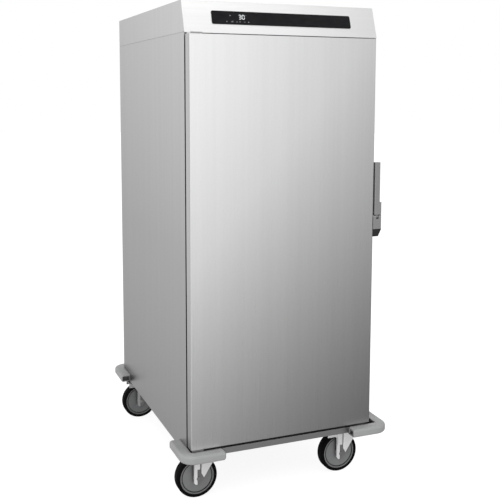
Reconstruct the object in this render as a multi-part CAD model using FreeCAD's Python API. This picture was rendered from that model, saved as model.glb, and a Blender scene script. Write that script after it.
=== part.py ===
import FreeCAD, Part
import os
from math import atan, cos, degrees, radians, sin

V = FreeCAD.Vector
os.makedirs("parts", exist_ok=True)

# Lengths in millimetres: x to the right, y to the back, z up from the floor.
# The origin is on the floor under the middle of the bumper outline.

# Cabinet
CABINET_WIDTH = 772.0
CABINET_DEPTH = 982.0
CABINET_HEIGHT = 1515.0
WALL = 45.0
SHEET = 1.0
FRAME_SHEET = 1.5
LINER_SHEET = 0.8
LINER_CORNER = 15.0
PANEL_RETURN = 15.0
SKIRT_DROP = 10.0
FIT = 0.5
RUN_FIT = 0.05

# Top housing
HOUSING_HEIGHT = 116.0
FASCIA_SETBACK = 39.0
FASCIA_OVERHANG = 4.0
FASCIA_RETURN = 15.0
COVER_REVEAL = 2.5
COVER_LAP = 12.0
GLASS_WIDTH = 558.0
GLASS_HEIGHT = 50.0
GLASS_THICK = 2.0
GLASS_CORNER = 6.0
GLASS_LEVEL_SHARE = 0.49
DISPLAY_OFFSET = 164.0
DISPLAY_WIDTH = 60.0
DISPLAY_HEIGHT = 26.0
DISPLAY_DEPTH = 11.0
BOARD_WIDTH = 180.0
BOARD_HEIGHT = 40.0
BOARD_THICK = 1.6
RELAY_SIZE = (58.0, 45.0, 48.0)
RELAY_FOOT = 4.0
RELAY_SIDE = 196.0
RELAY_BACK = 197.0
TERMINAL_SIZE = (110.0, 26.0, 24.0)
TERMINAL_POLES = 6
TERMINAL_SLOT = 9.0
TERMINAL_BACK = 189.0
GLAND_INSET = 136.0
GLAND_RISE = 40.0
GLAND_RADIUS = 12.0
GLAND_BORE = 5.5
GLAND_FLANGE = 16.0
GLAND_FLANGE_THICK = 7.0
GLAND_NOSE = 22.0
GLAND_INNER = 12.0

# Fan, heater and air guide
PLENUM_HEIGHT = 84.0
MOTOR_RADIUS = 46.0
MOTOR_HEIGHT = 72.0
MOTOR_FLANGE = 62.0
MOTOR_FLANGE_THICK = 4.0
MOTOR_EDGE = 3.0
SHAFT_RADIUS = 5.0
SHAFT_SEAT = 24.0
CEILING_HOLE = 14.0
IMPELLER_RADIUS = 130.0
IMPELLER_EYE = 78.0
IMPELLER_HEIGHT = 44.0
IMPELLER_SHEET = 1.5
IMPELLER_DROP = 14.0
HUB_RADIUS = 20.0
BLADES = 14
BLADE_ANGLE = 38.0
HEATER_RADIUS = 168.0
HEATER_TUBE = 4.0
HEATER_OPENING = 14.0
HEATER_LEVEL_SHARE = 0.45
HEATER_STUB = 18.0
GUIDE_SIDE_GAP = 26.0
GUIDE_FRONT_GAP = 6.0
INTAKE_RADIUS = 96.0
INTAKE_SLOTS = 20
INTAKE_SLOT = 9.0
INTAKE_HUB = 30.0
PROBE_RADIUS = 3.0
PROBE_LENGTH = 55.0
PROBE_FLANGE = 11.0
PROBE_DROP = 40.0

# Tray racks
LEVELS = 18
POST_WIDTH = 30.0
POST_DEPTH = 5.0
POST_SPREAD_SHARE = 0.7
RUNNER_SHEET = 1.5
RUNNER_LEDGE = 22.0
RUNNER_DROP = 24.0
RUNNER_SHARE = 0.92
RACK_MARGIN = 4.0
HOOK_WIDTH = 14.0
HOOK_HEIGHT = 6.0
HOOK_REACH = 3.0

# Door
LATCH_STRIP = 30.0
DOOR_THICK = 40.0
DOOR_SILL_GAP = 9.0
DOOR_TOP_GAP = 7.0
DOOR_EDGE = 4.0
SEAL_GAP = 14.0
FRAME_SEAT = 28.0
GASKET_WIDTH = 12.0
GASKET_MARGIN = 2.0
GASKET_NOSE = 3.0
SEAL_REST = 0.3

# Hinges
PIVOT_INSET = 16.0
LEAF_THICK = 5.0
LEAF_GAP = 1.0
LEAF_WIDTH = 44.0
LEAF_START = 5.5
LEAF_NOSE = 19.0
LEAF_ROUND = 2.0
FOOT_HEIGHT = 17.0
FOOT_THICK = 4.0
PIN_RADIUS = 5.0
BUSH_RADIUS = 8.0
BUSH_LENGTH = 16.0
PIN_CLEAR = 2.0

# Latch
LATCH_RISE = 773.0
LATCH_WIDTH = 37.0
LATCH_HEIGHT = 55.0
LATCH_EDGE = 3.0
CAP_HEIGHT = 30.0
CAP_TAPER = 11.0
ROOT_HEIGHT = 48.0
ROOT_GAP = 0.6
GRIP_HEIGHT = 155.0
GRIP_WIDTH = 22.0
GRIP_GAP = 6.0
GRIP_THICK = 16.0
GRIP_EDGE = 3.5
KNUCKLE_INSET = 9.0
KNUCKLE_RADIUS = 6.0
KNUCKLE_WIDTH = 10.0
KNUCKLE_START = 14.0
LATCH_PIN_RADIUS = 2.5
LATCH_WALL = 3.0
TAIL_ANGLE = 60.0
TAIL_RADIUS = 4.0
LEVER_TRAVEL = 40.0
SPRING_INNER = 4.0
SPRING_OUTER = 5.4
SPRING_LENGTH = 7.0
MAGNET_WIDTH = 9.0
MAGNET_GAP = 1.0
MAGNET_HEIGHT_SHARE = 0.7
STRIKE_THICK = 3.0
STRIKE_WIDTH = 38.0
STRIKE_HEIGHT = 76.0
STRIKE_INSET = 3.0

# Chassis and bumpers
CHANNEL_HEIGHT = 23.0
CHANNEL_SHEET = 2.0
BEAM_WIDTH = 40.0
GUSSET = 134.0
GUSSET_THICK = 3.0
BUMPER_FRONT = 40.0
BUMPER_REAR = 58.0
BUMPER_THICK = 42.0
BUMPER_HEIGHT = 32.0
BUMPER_DROP = 8.0
BUMPER_CORNER = 55.0
BUMPER_END = 10.0
BUMPER_ROUND = 10.0
BUMPER_WALL = 6.0
BUMPER_POCKET = 14.0
ARM_FRONT = 166.0
ARM_SIDE = 182.0

# Push handles
HANDLE_INSET = 86.0
HANDLE_RISE = 678.0
HANDLE_SPAN = 300.0
HANDLE_RADIUS = 10.0
HANDLE_BEND = 26.0
HANDLE_FLANGE = 20.0
HANDLE_FLANGE_THICK = 3.0

# Castors
WHEEL_RADIUS = 80.0
TYRE_WIDTH = 40.0
TYRE_ROUND = 8.0
RIM_RADIUS = 67.0
RIM_WIDTH = 34.0
RIM_LIP = 6.0
RIM_GROOVE = 4.0
RIM_GROOVE_DEPTH = 5.0
DISC_RECESS = 1.5
HUB_BOSS = 15.0
HUB_GAP = 1.2
BOND_GAP = 0.05
AXLE_RADIUS = 5.0
AXLE_HEAD = 6.4
AXLE_HEAD_THICK = 3.0
AXLE_HEAD_ROOM = 0.8
TRAIL = 38.0
CASTOR_SIDE = 86.0
CASTOR_FRONT = 40.0
CASTOR_BACK = 96.0
CROWN_GAP = 8.0
FORK_SHEET = 3.5
FORK_BEND = 7.0
LEG_GAP = 5.5
CROWN_RADIUS = 34.0
CROWN_REACH = 92.0
CROWN_FRONT = 27.0
LIP_DEPTH = 21.5
LIP_ROUND = 8.0
LEG_BACK = 16.0
LEG_FRONT = 10.5
LEG_TIP = 16.0
LEG_TIP_ROUND = 6.0
BEAD_WIDTH = 12.0
BEAD_RISE = 5.0
PAD_WIDTH = 21.0
PAD_LEVEL = 38.0
PAD_RISE = 9.0
CHEEK_START = 12.0
CHEEK_TIP = 2.0
CHEEK_SHOULDER = 18.0
CHEEK_BEVEL_SHARE = 0.8
KINGPIN_RADIUS = 7.0
KINGPIN_HEAD = 12.0
KINGPIN_HEAD_THICK = 4.5
RACE_GAP = 0.6
RACE_HEIGHT = 12.9
RACE_RADIUS = 28.0
RACE_TOP_RADIUS = 33.0
PLATE_LENGTH = 105.0
PLATE_WIDTH = 85.0
PLATE_THICK = 4.0
PLATE_HOLE = 4.5
PLATE_HOLE_INSET = 12.0

# Levels
CROWN_BOTTOM = 2 * WHEEL_RADIUS + CROWN_GAP
CROWN_TOP = CROWN_BOTTOM + FORK_SHEET
RACE_BOTTOM = CROWN_TOP + RACE_GAP
PLATE_BOTTOM = RACE_BOTTOM + RACE_HEIGHT
CHASSIS_BOTTOM = PLATE_BOTTOM + PLATE_THICK
CHASSIS_TOP = CHASSIS_BOTTOM + CHANNEL_HEIGHT
SKIRT_BOTTOM = CHASSIS_BOTTOM - SKIRT_DROP
CABINET_TOP = CHASSIS_TOP + CABINET_HEIGHT
ROOF = CABINET_TOP + HOUSING_HEIGHT
DOOR_BOTTOM = CHASSIS_TOP + DOOR_SILL_GAP
DOOR_TOP = CABINET_TOP - DOOR_TOP_GAP
DECK_TOP = CABINET_TOP + SHEET
HANDLE_LOW = CHASSIS_TOP + HANDLE_RISE

# Plan positions
X_SIDE = CABINET_WIDTH / 2
X_SKIN = X_SIDE - SHEET
X_BUMPER = X_SIDE + BUMPER_THICK
X_HINGE_EDGE = -X_SIDE
X_LATCH_EDGE = X_SIDE - LATCH_STRIP
TOTAL_DEPTH = BUMPER_FRONT + DOOR_THICK + SEAL_GAP + CABINET_DEPTH + BUMPER_REAR
Y_FRONT = -TOTAL_DEPTH / 2
Y_DOOR = Y_FRONT + BUMPER_FRONT
Y_DOOR_BACK = Y_DOOR + DOOR_THICK
Y_FRAME = Y_DOOR_BACK + SEAL_GAP
Y_BACK = Y_FRAME + CABINET_DEPTH
Y_RAIL = Y_FRONT + BUMPER_THICK
Y_INSIDE = Y_FRAME + FRAME_SHEET
Y_LINER = Y_BACK - WALL
Y_FASCIA = Y_FRAME - FASCIA_OVERHANG
X_HANDLE = X_SIDE - HANDLE_INSET
X_GLAND = X_SIDE - GLAND_INSET
X_RELAY = X_SIDE - RELAY_SIDE
Y_RELAY = Y_FASCIA + RELAY_BACK
Y_TERMINAL = Y_BACK - TERMINAL_BACK
X_CASTOR = X_SIDE - CASTOR_SIDE
OPEN_LEFT = -X_SIDE + WALL
OPEN_RIGHT = X_LATCH_EDGE - FRAME_SEAT
OPEN_BOTTOM = DOOR_BOTTOM + FRAME_SEAT
OPEN_TOP = DOOR_TOP - FRAME_SEAT
X_FAN = (OPEN_LEFT + OPEN_RIGHT) / 2
Y_FAN = (Y_INSIDE + Y_LINER) / 2
GUIDE_LEVEL = OPEN_TOP - PLENUM_HEIGHT
HEATER_LEVEL = GUIDE_LEVEL + PLENUM_HEIGHT * HEATER_LEVEL_SHARE
X_PIVOT = X_HINGE_EDGE + PIVOT_INSET
Y_PIVOT = Y_DOOR + DOOR_THICK / 2
LEAN = atan(FASCIA_SETBACK / HOUSING_HEIGHT)
FASCIA_RUN = FRAME_SHEET / cos(LEAN)


FLAT = 0.001
ALONG_X, ALONG_Y, ALONG_Z = (1, 0, 0), (0, 1, 0), (0, 0, 1)


def box(x0, x1, y0, y1, z0, z1):
    """Block between three pairs of limits."""
    return Part.makeBox(x1 - x0, y1 - y0, z1 - z0, V(x0, y0, z0))


def rod(radius, base, travel):
    """Round bar from a base point along a vector."""
    way = V(*travel)
    return Part.makeCylinder(radius, way.Length, V(*base), way)


def prism(points, travel):
    """Flat outline pushed along a vector."""
    corners = [V(*p) for p in points]
    face = Part.Face(Part.makePolygon(corners + corners[:1]))
    return face.extrude(V(*travel))


def turned(profile, base, axis):
    """Closed (radius, height) outline turned about an axis."""
    corners = [V(r, 0, h) for r, h in profile]
    face = Part.Face(Part.makePolygon(corners + corners[:1]))
    solid = face.revolve(V(0, 0, 0), V(0, 0, 1), 360)
    solid.Placement = FreeCAD.Placement(V(*base), FreeCAD.Rotation(V(0, 0, 1), V(*axis)))
    return solid


def edges_along(shape, way, *spots):
    """Straight edges parallel to an axis whose middle has all the given coordinates."""
    found = []
    for edge in shape.Edges:
        if not isinstance(edge.Curve, Part.Line):
            continue
        if abs(abs(edge.tangentAt(edge.FirstParameter).dot(V(*way))) - 1) > FLAT:
            continue
        if all(abs(getattr(edge.CenterOfMass, axis) - value) < FLAT for axis, value in spots):
            found.append(edge)
    return found


def rims_at(shape, axis, value):
    """Edges that lie in a plane across an axis."""
    found = []
    for edge in shape.Edges:
        ends = edge.BoundBox
        reach = {"x": ends.XLength, "y": ends.YLength, "z": ends.ZLength}[axis]
        if reach < FLAT and abs(getattr(edge.CenterOfMass, axis) - value) < FLAT:
            found.append(edge)
    return found


def tunnel(x0, x1, y0, y1, z0, z1, corner):
    """Block along y with its four long edges rounded."""
    block = box(x0, x1, y0, y1, z0, z1)
    return block.makeFillet(corner, edges_along(block, ALONG_Y))


def joined(first, *others):
    """One solid from touching pieces."""
    return first.fuse(list(others)).removeSplitter()


def mirrored(shape, way):
    return shape.mirror(V(0, 0, 0), V(*way))


def save(name, *solids):
    shape = solids[0] if len(solids) == 1 else Part.makeCompound(list(solids))
    shape.exportStep("parts/" + name + ".step")


def side_panel():
    """Left side panel with its top and bottom edges folded in."""
    skin = box(-X_SIDE, -X_SKIN, Y_FRAME, Y_BACK, SKIRT_BOTTOM, CABINET_TOP)
    x_fold = -X_SKIN + PANEL_RETURN
    low = box(-X_SKIN, x_fold, Y_INSIDE, Y_BACK - SHEET, SKIRT_BOTTOM, SKIRT_BOTTOM + SHEET)
    high = box(-X_SKIN, x_fold, Y_INSIDE, Y_BACK - SHEET, CABINET_TOP - SHEET, CABINET_TOP)
    return joined(skin, low, high)


def back_panel():
    skin = box(-X_SKIN, X_SKIN, Y_BACK - SHEET, Y_BACK, CHASSIS_TOP, CABINET_TOP)
    x_fold = X_SKIN - PANEL_RETURN
    y_fold = Y_BACK - SHEET - PANEL_RETURN
    high = box(-x_fold, x_fold, y_fold, Y_BACK - SHEET, CABINET_TOP - SHEET, CABINET_TOP)
    return joined(skin, high)


def opening_corners():
    """Each corner of the door opening as (x, z, way inwards along x, way inwards along z)."""
    corners = []
    for x, x_way in ((OPEN_LEFT, 1), (OPEN_RIGHT, -1)):
        for z, z_way in ((OPEN_BOTTOM, 1), (OPEN_TOP, -1)):
            corners.append((x, z, x_way, z_way))
    return corners


def front_frame():
    """Strips welded round the door opening, with a rounded web in each corner."""
    strips = [box(-X_SKIN, OPEN_LEFT, Y_FRAME, Y_INSIDE, CHASSIS_TOP, CABINET_TOP)]
    strips.append(box(OPEN_RIGHT, X_SKIN, Y_FRAME, Y_INSIDE, CHASSIS_TOP, CABINET_TOP))
    strips.append(box(OPEN_LEFT, OPEN_RIGHT, Y_FRAME, Y_INSIDE, CHASSIS_TOP, OPEN_BOTTOM))
    strips.append(box(OPEN_LEFT, OPEN_RIGHT, Y_FRAME, Y_INSIDE, OPEN_TOP, CABINET_TOP))
    for x, z, x_way, z_way in opening_corners():
        x_in, z_in = x + x_way * LINER_CORNER, z + z_way * LINER_CORNER
        web = box(min(x, x_in), max(x, x_in), Y_FRAME, Y_INSIDE, min(z, z_in), max(z, z_in))
        strips.append(web.cut(rod(LINER_CORNER, (x_in, Y_FRAME, z_in), (0, FRAME_SHEET, 0))))
    return strips


def ceiling_holes(radius_extra, z0, z1):
    """Clearance holes for the fan shaft and both heater legs."""
    holes = [rod(CEILING_HOLE + radius_extra, (X_FAN, Y_FAN, z0), (0, 0, z1 - z0))]
    for x, y in heater_ends():
        holes.append(rod(HEATER_TUBE + FIT + radius_extra, (x, y, z0), (0, 0, z1 - z0)))
    return holes


def heater_ends():
    """Plan positions of the two legs of the ring heater."""
    ends = []
    for side in (-1, 1):
        turn = radians(side * HEATER_OPENING / 2)
        ends.append((X_FAN + HEATER_RADIUS * cos(turn), Y_FAN + HEATER_RADIUS * sin(turn)))
    return ends


def inner_liner():
    """Walls, floor and ceiling joined by coved corner strips, with a back plate."""
    t, r = LINER_SHEET, LINER_CORNER
    x0, x1, z0, z1 = OPEN_LEFT + r, OPEN_RIGHT - r, OPEN_BOTTOM + r, OPEN_TOP - r
    ceiling = box(x0, x1, Y_INSIDE, Y_LINER, OPEN_TOP, OPEN_TOP + t)
    sheets = [ceiling.cut(ceiling_holes(0, OPEN_TOP, OPEN_TOP + t))]
    sheets.append(box(x0, x1, Y_INSIDE, Y_LINER, OPEN_BOTTOM - t, OPEN_BOTTOM))
    sheets.append(box(OPEN_LEFT - t, OPEN_LEFT, Y_INSIDE, Y_LINER, z0, z1))
    sheets.append(box(OPEN_RIGHT, OPEN_RIGHT + t, Y_INSIDE, Y_LINER, z0, z1))
    sheets.append(tunnel(OPEN_LEFT - t, OPEN_RIGHT + t, Y_LINER, Y_LINER + t,
                         OPEN_BOTTOM - t, OPEN_TOP + t, r + t))
    way = (0, Y_LINER - Y_INSIDE, 0)
    for x, z, x_way, z_way in opening_corners():
        centre = (x + x_way * r, Y_INSIDE, z + z_way * r)
        x_out, z_out = x - x_way * t, z - z_way * t
        quarter = box(min(x_out, centre[0]), max(x_out, centre[0]), Y_INSIDE, Y_LINER,
                      min(z_out, centre[2]), max(z_out, centre[2]))
        sheets.append(quarter.common(rod(r + t, centre, way).cut(rod(r, centre, way))))
    return sheets


def insulation():
    """Five slabs between the outer panels and the liner."""
    skin = X_SKIN - FIT
    left = OPEN_LEFT - LINER_SHEET - FIT
    right = OPEN_RIGHT + LINER_SHEET + FIT
    low = CHASSIS_TOP + SHEET + FIT
    high = CABINET_TOP - SHEET - FIT
    front = Y_INSIDE + FIT
    back = Y_LINER + LINER_SHEET
    roof = OPEN_TOP + LINER_SHEET + FIT
    slabs = [box(-skin, left, front, back, low, high)]
    slabs.append(box(right, skin, front, back, low, high))
    slabs.append(box(-skin, skin, back + FIT, Y_BACK - SHEET - FIT, low, high))
    slabs.append(box(left + FIT, right - FIT, front, back, low, OPEN_BOTTOM - LINER_SHEET - FIT))
    slabs.append(box(left + FIT, right - FIT, front, back, roof, high).cut(ceiling_holes(FIT, roof, high)))
    return slabs


def floor_pan():
    x = X_SKIN - FIT
    return box(-x, x, Y_INSIDE + FIT, Y_BACK - SHEET - FIT, CHASSIS_TOP, CHASSIS_TOP + SHEET)


def top_deck():
    """Plate between the cabinet and the top housing."""
    x = X_SKIN - SHEET - FIT
    y = Y_FASCIA + FASCIA_RETURN + FIT
    plate = box(-x, x, y, Y_BACK - SHEET - FIT, CABINET_TOP, DECK_TOP)
    return plate.cut(ceiling_holes(0, CABINET_TOP, DECK_TOP))


def top_cover():
    """Roof, sides and back of the top housing, welded together; the sides stand on inset sills."""
    foot = Y_FASCIA + FASCIA_RUN
    under = ROOF - SHEET
    sill = CABINET_TOP + COVER_REVEAL
    y_sill = foot + FASCIA_SETBACK * COVER_REVEAL / HOUSING_HEIGHT
    y_back = Y_BACK - SHEET
    y_roof = foot + FASCIA_SETBACK * (under - CABINET_TOP) / HOUSING_HEIGHT
    roof = [(-X_SIDE, y_roof, under), (-X_SIDE, Y_BACK, under),
            (-X_SIDE, Y_BACK, ROOF), (-X_SIDE, foot + FASCIA_SETBACK, ROOF)]
    sheets = [prism(roof, (CABINET_WIDTH, 0, 0))]
    for x, inset in ((-X_SIDE, SHEET), (X_SKIN, -SHEET)):
        side = [(x, y_sill, sill), (x, Y_BACK, sill), (x, Y_BACK, under), (x, y_roof, under)]
        sheets.append(prism(side, (SHEET, 0, 0)))
        x0 = x + inset
        y0 = Y_FASCIA + FASCIA_RETURN + FIT
        sheets.append(box(x0, x0 + SHEET, y0, y_back, CABINET_TOP, sill + COVER_LAP))
    back = box(-X_SKIN, X_SKIN, y_back, Y_BACK, CABINET_TOP, under)
    hole = rod(GLAND_RADIUS + FIT, (X_GLAND, y_back, CABINET_TOP + GLAND_RISE), (0, SHEET, 0))
    return sheets + [back.cut(hole)]


def on_fascia(shape):
    """Moves a piece drawn about the origin, with the fascia as its plane y = 0, into place."""
    shape.rotate(V(0, 0, 0), V(1, 0, 0), -degrees(LEAN))
    lift = HOUSING_HEIGHT * GLASS_LEVEL_SHARE
    shape.translate(V(0, Y_FASCIA + FASCIA_SETBACK * GLASS_LEVEL_SHARE, CABINET_TOP + lift))
    return shape


def fascia():
    """Sloping front with folded foot and head, and a window behind the glass."""
    head = FASCIA_SETBACK + FASCIA_RUN
    profile = [(-X_SIDE, Y_FASCIA, CABINET_TOP), (-X_SIDE, Y_FASCIA + FASCIA_RUN, CABINET_TOP),
               (-X_SIDE, Y_FASCIA + head, ROOF), (-X_SIDE, Y_FASCIA + FASCIA_SETBACK, ROOF)]
    plate = prism(profile, (CABINET_WIDTH, 0, 0))
    x = X_SKIN - FIT
    foot = box(-x, x, Y_FASCIA + FASCIA_RUN / 2, Y_FASCIA + FASCIA_RETURN, CABINET_TOP, DECK_TOP)
    under = ROOF - SHEET
    y_head = Y_FASCIA + FASCIA_SETBACK
    lip = box(-x, x, y_head, y_head + FASCIA_RETURN, under - FRAME_SHEET, under)
    half = DISPLAY_WIDTH / 2 + FIT
    rise = DISPLAY_HEIGHT / 2 + FIT
    window = box(-DISPLAY_OFFSET - half, -DISPLAY_OFFSET + half, -DISPLAY_DEPTH, DISPLAY_DEPTH, -rise, rise)
    return joined(plate, foot, lip).cut(on_fascia(window))


def control_glass():
    half = GLASS_WIDTH / 2
    plate = tunnel(-half, half, -GLASS_THICK, 0, -GLASS_HEIGHT / 2, GLASS_HEIGHT / 2, GLASS_CORNER)
    return on_fascia(plate)


def control_board():
    """Display block behind the window, on its circuit board."""
    half = DISPLAY_WIDTH / 2
    rise = DISPLAY_HEIGHT / 2
    block = box(-DISPLAY_OFFSET - half, -DISPLAY_OFFSET + half, FIT, DISPLAY_DEPTH, -rise, rise)
    half = BOARD_WIDTH / 2
    rise = BOARD_HEIGHT / 2
    board = box(-DISPLAY_OFFSET - half, -DISPLAY_OFFSET + half,
                DISPLAY_DEPTH, DISPLAY_DEPTH + BOARD_THICK, -rise, rise)
    return on_fascia(joined(block, board))


def relay_block():
    """Relay on a wider foot."""
    pieces = []
    for inset, z0, z1 in ((0, 0, RELAY_FOOT), (RELAY_FOOT, RELAY_FOOT, RELAY_SIZE[2])):
        x = RELAY_SIZE[0] / 2 - inset
        y = RELAY_SIZE[1] / 2 - inset
        pieces.append(box(X_RELAY - x, X_RELAY + x, Y_RELAY - y, Y_RELAY + y, DECK_TOP + z0, DECK_TOP + z1))
    return joined(*pieces)


def terminal_block():
    """Strip with a row of clamp pockets."""
    w, d, h = TERMINAL_SIZE
    x0 = X_GLAND - w
    strip = box(x0, x0 + w, Y_TERMINAL - d / 2, Y_TERMINAL + d / 2, DECK_TOP, DECK_TOP + h)
    pitch = w / TERMINAL_POLES
    pockets = []
    for pole in range(TERMINAL_POLES):
        x = x0 + pitch * (pole + 0.5)
        pockets.append(box(x - TERMINAL_SLOT / 2, x + TERMINAL_SLOT / 2,
                           Y_TERMINAL - d / 2, Y_TERMINAL, DECK_TOP + h / 2, DECK_TOP + h))
    return strip.cut(pockets)


def mains_gland():
    """Cable gland through the back of the top housing."""
    inner = -SHEET - GLAND_INNER
    flange = GLAND_FLANGE_THICK
    nose = flange + GLAND_NOSE
    profile = [(GLAND_BORE, inner), (GLAND_RADIUS, inner), (GLAND_RADIUS, 0), (GLAND_FLANGE, 0),
               (GLAND_FLANGE, flange), (GLAND_RADIUS, flange), (GLAND_RADIUS, nose - GLAND_BORE),
               (GLAND_BORE + SHEET, nose), (GLAND_BORE, nose)]
    return turned(profile, (X_GLAND, Y_BACK, CABINET_TOP + GLAND_RISE), ALONG_Y)


def fan_motor():
    """Motor on a square flange, bored for the shaft."""
    f = MOTOR_FLANGE
    top = DECK_TOP + MOTOR_FLANGE_THICK
    flange = box(X_FAN - f, X_FAN + f, Y_FAN - f, Y_FAN + f, DECK_TOP, top)
    can = rod(MOTOR_RADIUS, (X_FAN, Y_FAN, top), (0, 0, MOTOR_HEIGHT))
    can = can.makeFillet(MOTOR_EDGE, rims_at(can, "z", top + MOTOR_HEIGHT))
    bore = rod(SHAFT_RADIUS + RUN_FIT, (X_FAN, Y_FAN, DECK_TOP), (0, 0, SHAFT_SEAT + FIT))
    return joined(flange, can).cut(bore)


def fan_impeller():
    """Radial wheel with leaning blades between a disc and a ring, fixed to its shaft."""
    top = OPEN_TOP - IMPELLER_DROP
    low = top - IMPELLER_HEIGHT
    t = IMPELLER_SHEET
    disc = rod(IMPELLER_RADIUS, (X_FAN, Y_FAN, top - t), (0, 0, t))
    ring = rod(IMPELLER_RADIUS, (X_FAN, Y_FAN, low), (0, 0, t))
    ring = ring.cut(rod(IMPELLER_EYE, (X_FAN, Y_FAN, low), (0, 0, t)))
    hub = rod(HUB_RADIUS, (X_FAN, Y_FAN, low + IMPELLER_HEIGHT / 2), (0, 0, IMPELLER_HEIGHT / 2))
    shaft = rod(SHAFT_RADIUS, (X_FAN, Y_FAN, top - t), (0, 0, DECK_TOP + SHAFT_SEAT - top + t))
    inside = rod(IMPELLER_RADIUS, (X_FAN, Y_FAN, low), (0, 0, IMPELLER_HEIGHT))
    reach = IMPELLER_RADIUS - IMPELLER_EYE
    blade = box(0, 2 * reach, -t / 2, t / 2, low + t / 2, top - t / 2)
    blade.rotate(V(0, 0, 0), V(0, 0, 1), BLADE_ANGLE)
    blade.translate(V(X_FAN + IMPELLER_EYE, Y_FAN, 0))
    blade = blade.common(inside)
    blades = []
    for number in range(BLADES):
        copy = blade.copy()
        copy.rotate(V(X_FAN, Y_FAN, 0), V(0, 0, 1), 360.0 * number / BLADES)
        blades.append(copy)
    return joined(disc, ring, hub, shaft, *blades)


def heater_ring():
    """Tubular element in an open ring, with two legs up through the deck."""
    z = HEATER_LEVEL
    middle = V(X_FAN, Y_FAN, z)
    ring = Part.makeTorus(HEATER_RADIUS, HEATER_TUBE, middle, V(0, 0, 1), 0, 360, 360 - HEATER_OPENING)
    ring.rotate(middle, V(0, 0, 1), HEATER_OPENING / 2)
    pieces = []
    for x, y in heater_ends():
        pieces.append(Part.makeSphere(HEATER_TUBE, V(x, y, z)))
        pieces.append(rod(HEATER_TUBE, (x, y, z), (0, 0, DECK_TOP + HEATER_STUB - z)))
    return joined(ring, *pieces)


def air_guide():
    """Panel under the fan with a slotted intake and a front edge folded up."""
    z = GUIDE_LEVEL
    x0, x1 = OPEN_LEFT + GUIDE_SIDE_GAP, OPEN_RIGHT - GUIDE_SIDE_GAP
    y0 = Y_INSIDE + GUIDE_FRONT_GAP
    plate = box(x0, x1, y0, Y_LINER, z, z + LINER_SHEET)
    lip = box(x0, x1, y0, y0 + LINER_SHEET, z, OPEN_TOP)
    slot = box(INTAKE_HUB, INTAKE_RADIUS, -INTAKE_SLOT / 2, INTAKE_SLOT / 2, z, z + LINER_SHEET)
    slot = slot.makeFillet(INTAKE_SLOT / 3, edges_along(slot, ALONG_Z))
    slots = []
    for number in range(INTAKE_SLOTS):
        copy = slot.copy()
        copy.rotate(V(0, 0, 0), V(0, 0, 1), 360.0 * number / INTAKE_SLOTS)
        copy.translate(V(X_FAN, Y_FAN, 0))
        slots.append(copy)
    return joined(plate, lip).cut(slots)


def probe():
    """Temperature probe on the back wall of the liner."""
    base = (X_FAN, Y_LINER, GUIDE_LEVEL - PROBE_DROP)
    flange = rod(PROBE_FLANGE, base, (0, -PROBE_RADIUS, 0))
    stem = rod(PROBE_RADIUS, base, (0, -PROBE_LENGTH, 0))
    stem = stem.makeFillet(PROBE_RADIUS / 2, rims_at(stem, "y", Y_LINER - PROBE_LENGTH))
    return joined(flange, stem)


RACK_LOW = OPEN_BOTTOM + LINER_CORNER + RACK_MARGIN
RACK_HIGH = GUIDE_LEVEL - RACK_MARGIN
LEVEL_PITCH = (RACK_HIGH - RACK_LOW) / LEVELS
RACK_MIDDLE = (Y_INSIDE + Y_LINER) / 2
RACK_REACH = (Y_LINER - Y_INSIDE) / 2


def level(number):
    """Height of the top face of a runner."""
    return RACK_LOW + LEVEL_PITCH * (number + 0.5)


def post_centres():
    reach = RACK_REACH * POST_SPREAD_SHARE
    return (RACK_MIDDLE - reach, RACK_MIDDLE + reach)


def rack_post(x_wall, side, y):
    """Shallow channel on a side wall, with a row of hook slots."""
    x_face = x_wall + side * POST_DEPTH
    half = POST_WIDTH / 2
    bar = box(min(x_wall, x_face), max(x_wall, x_face), y - half, y + half, RACK_LOW, RACK_HIGH)
    x_inner = x_face - side * RUNNER_SHEET
    half = half - RUNNER_SHEET
    cuts = [box(min(x_wall, x_inner), max(x_wall, x_inner), y - half, y + half, RACK_LOW, RACK_HIGH)]
    half = HOOK_WIDTH / 2 + FIT
    for number in range(LEVELS):
        z = level(number) - RUNNER_DROP / 2
        rise = HOOK_HEIGHT / 2 + FIT
        cuts.append(box(min(x_inner, x_face), max(x_inner, x_face), y - half, y + half, z - rise, z + rise))
    return bar.cut(cuts)


def runner(x_wall, side, number):
    """Angle rail with a hook into each post."""
    x_face = x_wall + side * POST_DEPTH
    y0 = RACK_MIDDLE - RACK_REACH * RUNNER_SHARE
    y1 = RACK_MIDDLE + RACK_REACH * RUNNER_SHARE
    z = level(number)
    xs = sorted((x_face, x_face + side * RUNNER_SHEET))
    pieces = [box(xs[0], xs[1], y0, y1, z - RUNNER_DROP, z)]
    xs = sorted((x_face, x_face + side * RUNNER_LEDGE))
    pieces.append(box(xs[0], xs[1], y0, y1, z - RUNNER_SHEET, z))
    xs = sorted((x_face - side * HOOK_REACH, x_face))
    z_hook = z - RUNNER_DROP / 2
    for y in post_centres():
        pieces.append(box(xs[0], xs[1], y - HOOK_WIDTH / 2, y + HOOK_WIDTH / 2,
                          z_hook - HOOK_HEIGHT / 2, z_hook + HOOK_HEIGHT / 2))
    return joined(*pieces)


def tube(x0, x1, y0, y1, way):
    """Box-section member of the chassis, open at both ends along its way."""
    low, high, t = CHASSIS_BOTTOM, CHASSIS_TOP, CHANNEL_SHEET
    x_wall = t if way == ALONG_Y else 0
    y_wall = t if way == ALONG_X else 0
    hollow = box(x0 + x_wall, x1 - x_wall, y0 + y_wall, y1 - y_wall, low + t, high - t)
    return box(x0, x1, y0, y1, low, high).cut(hollow)


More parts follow.
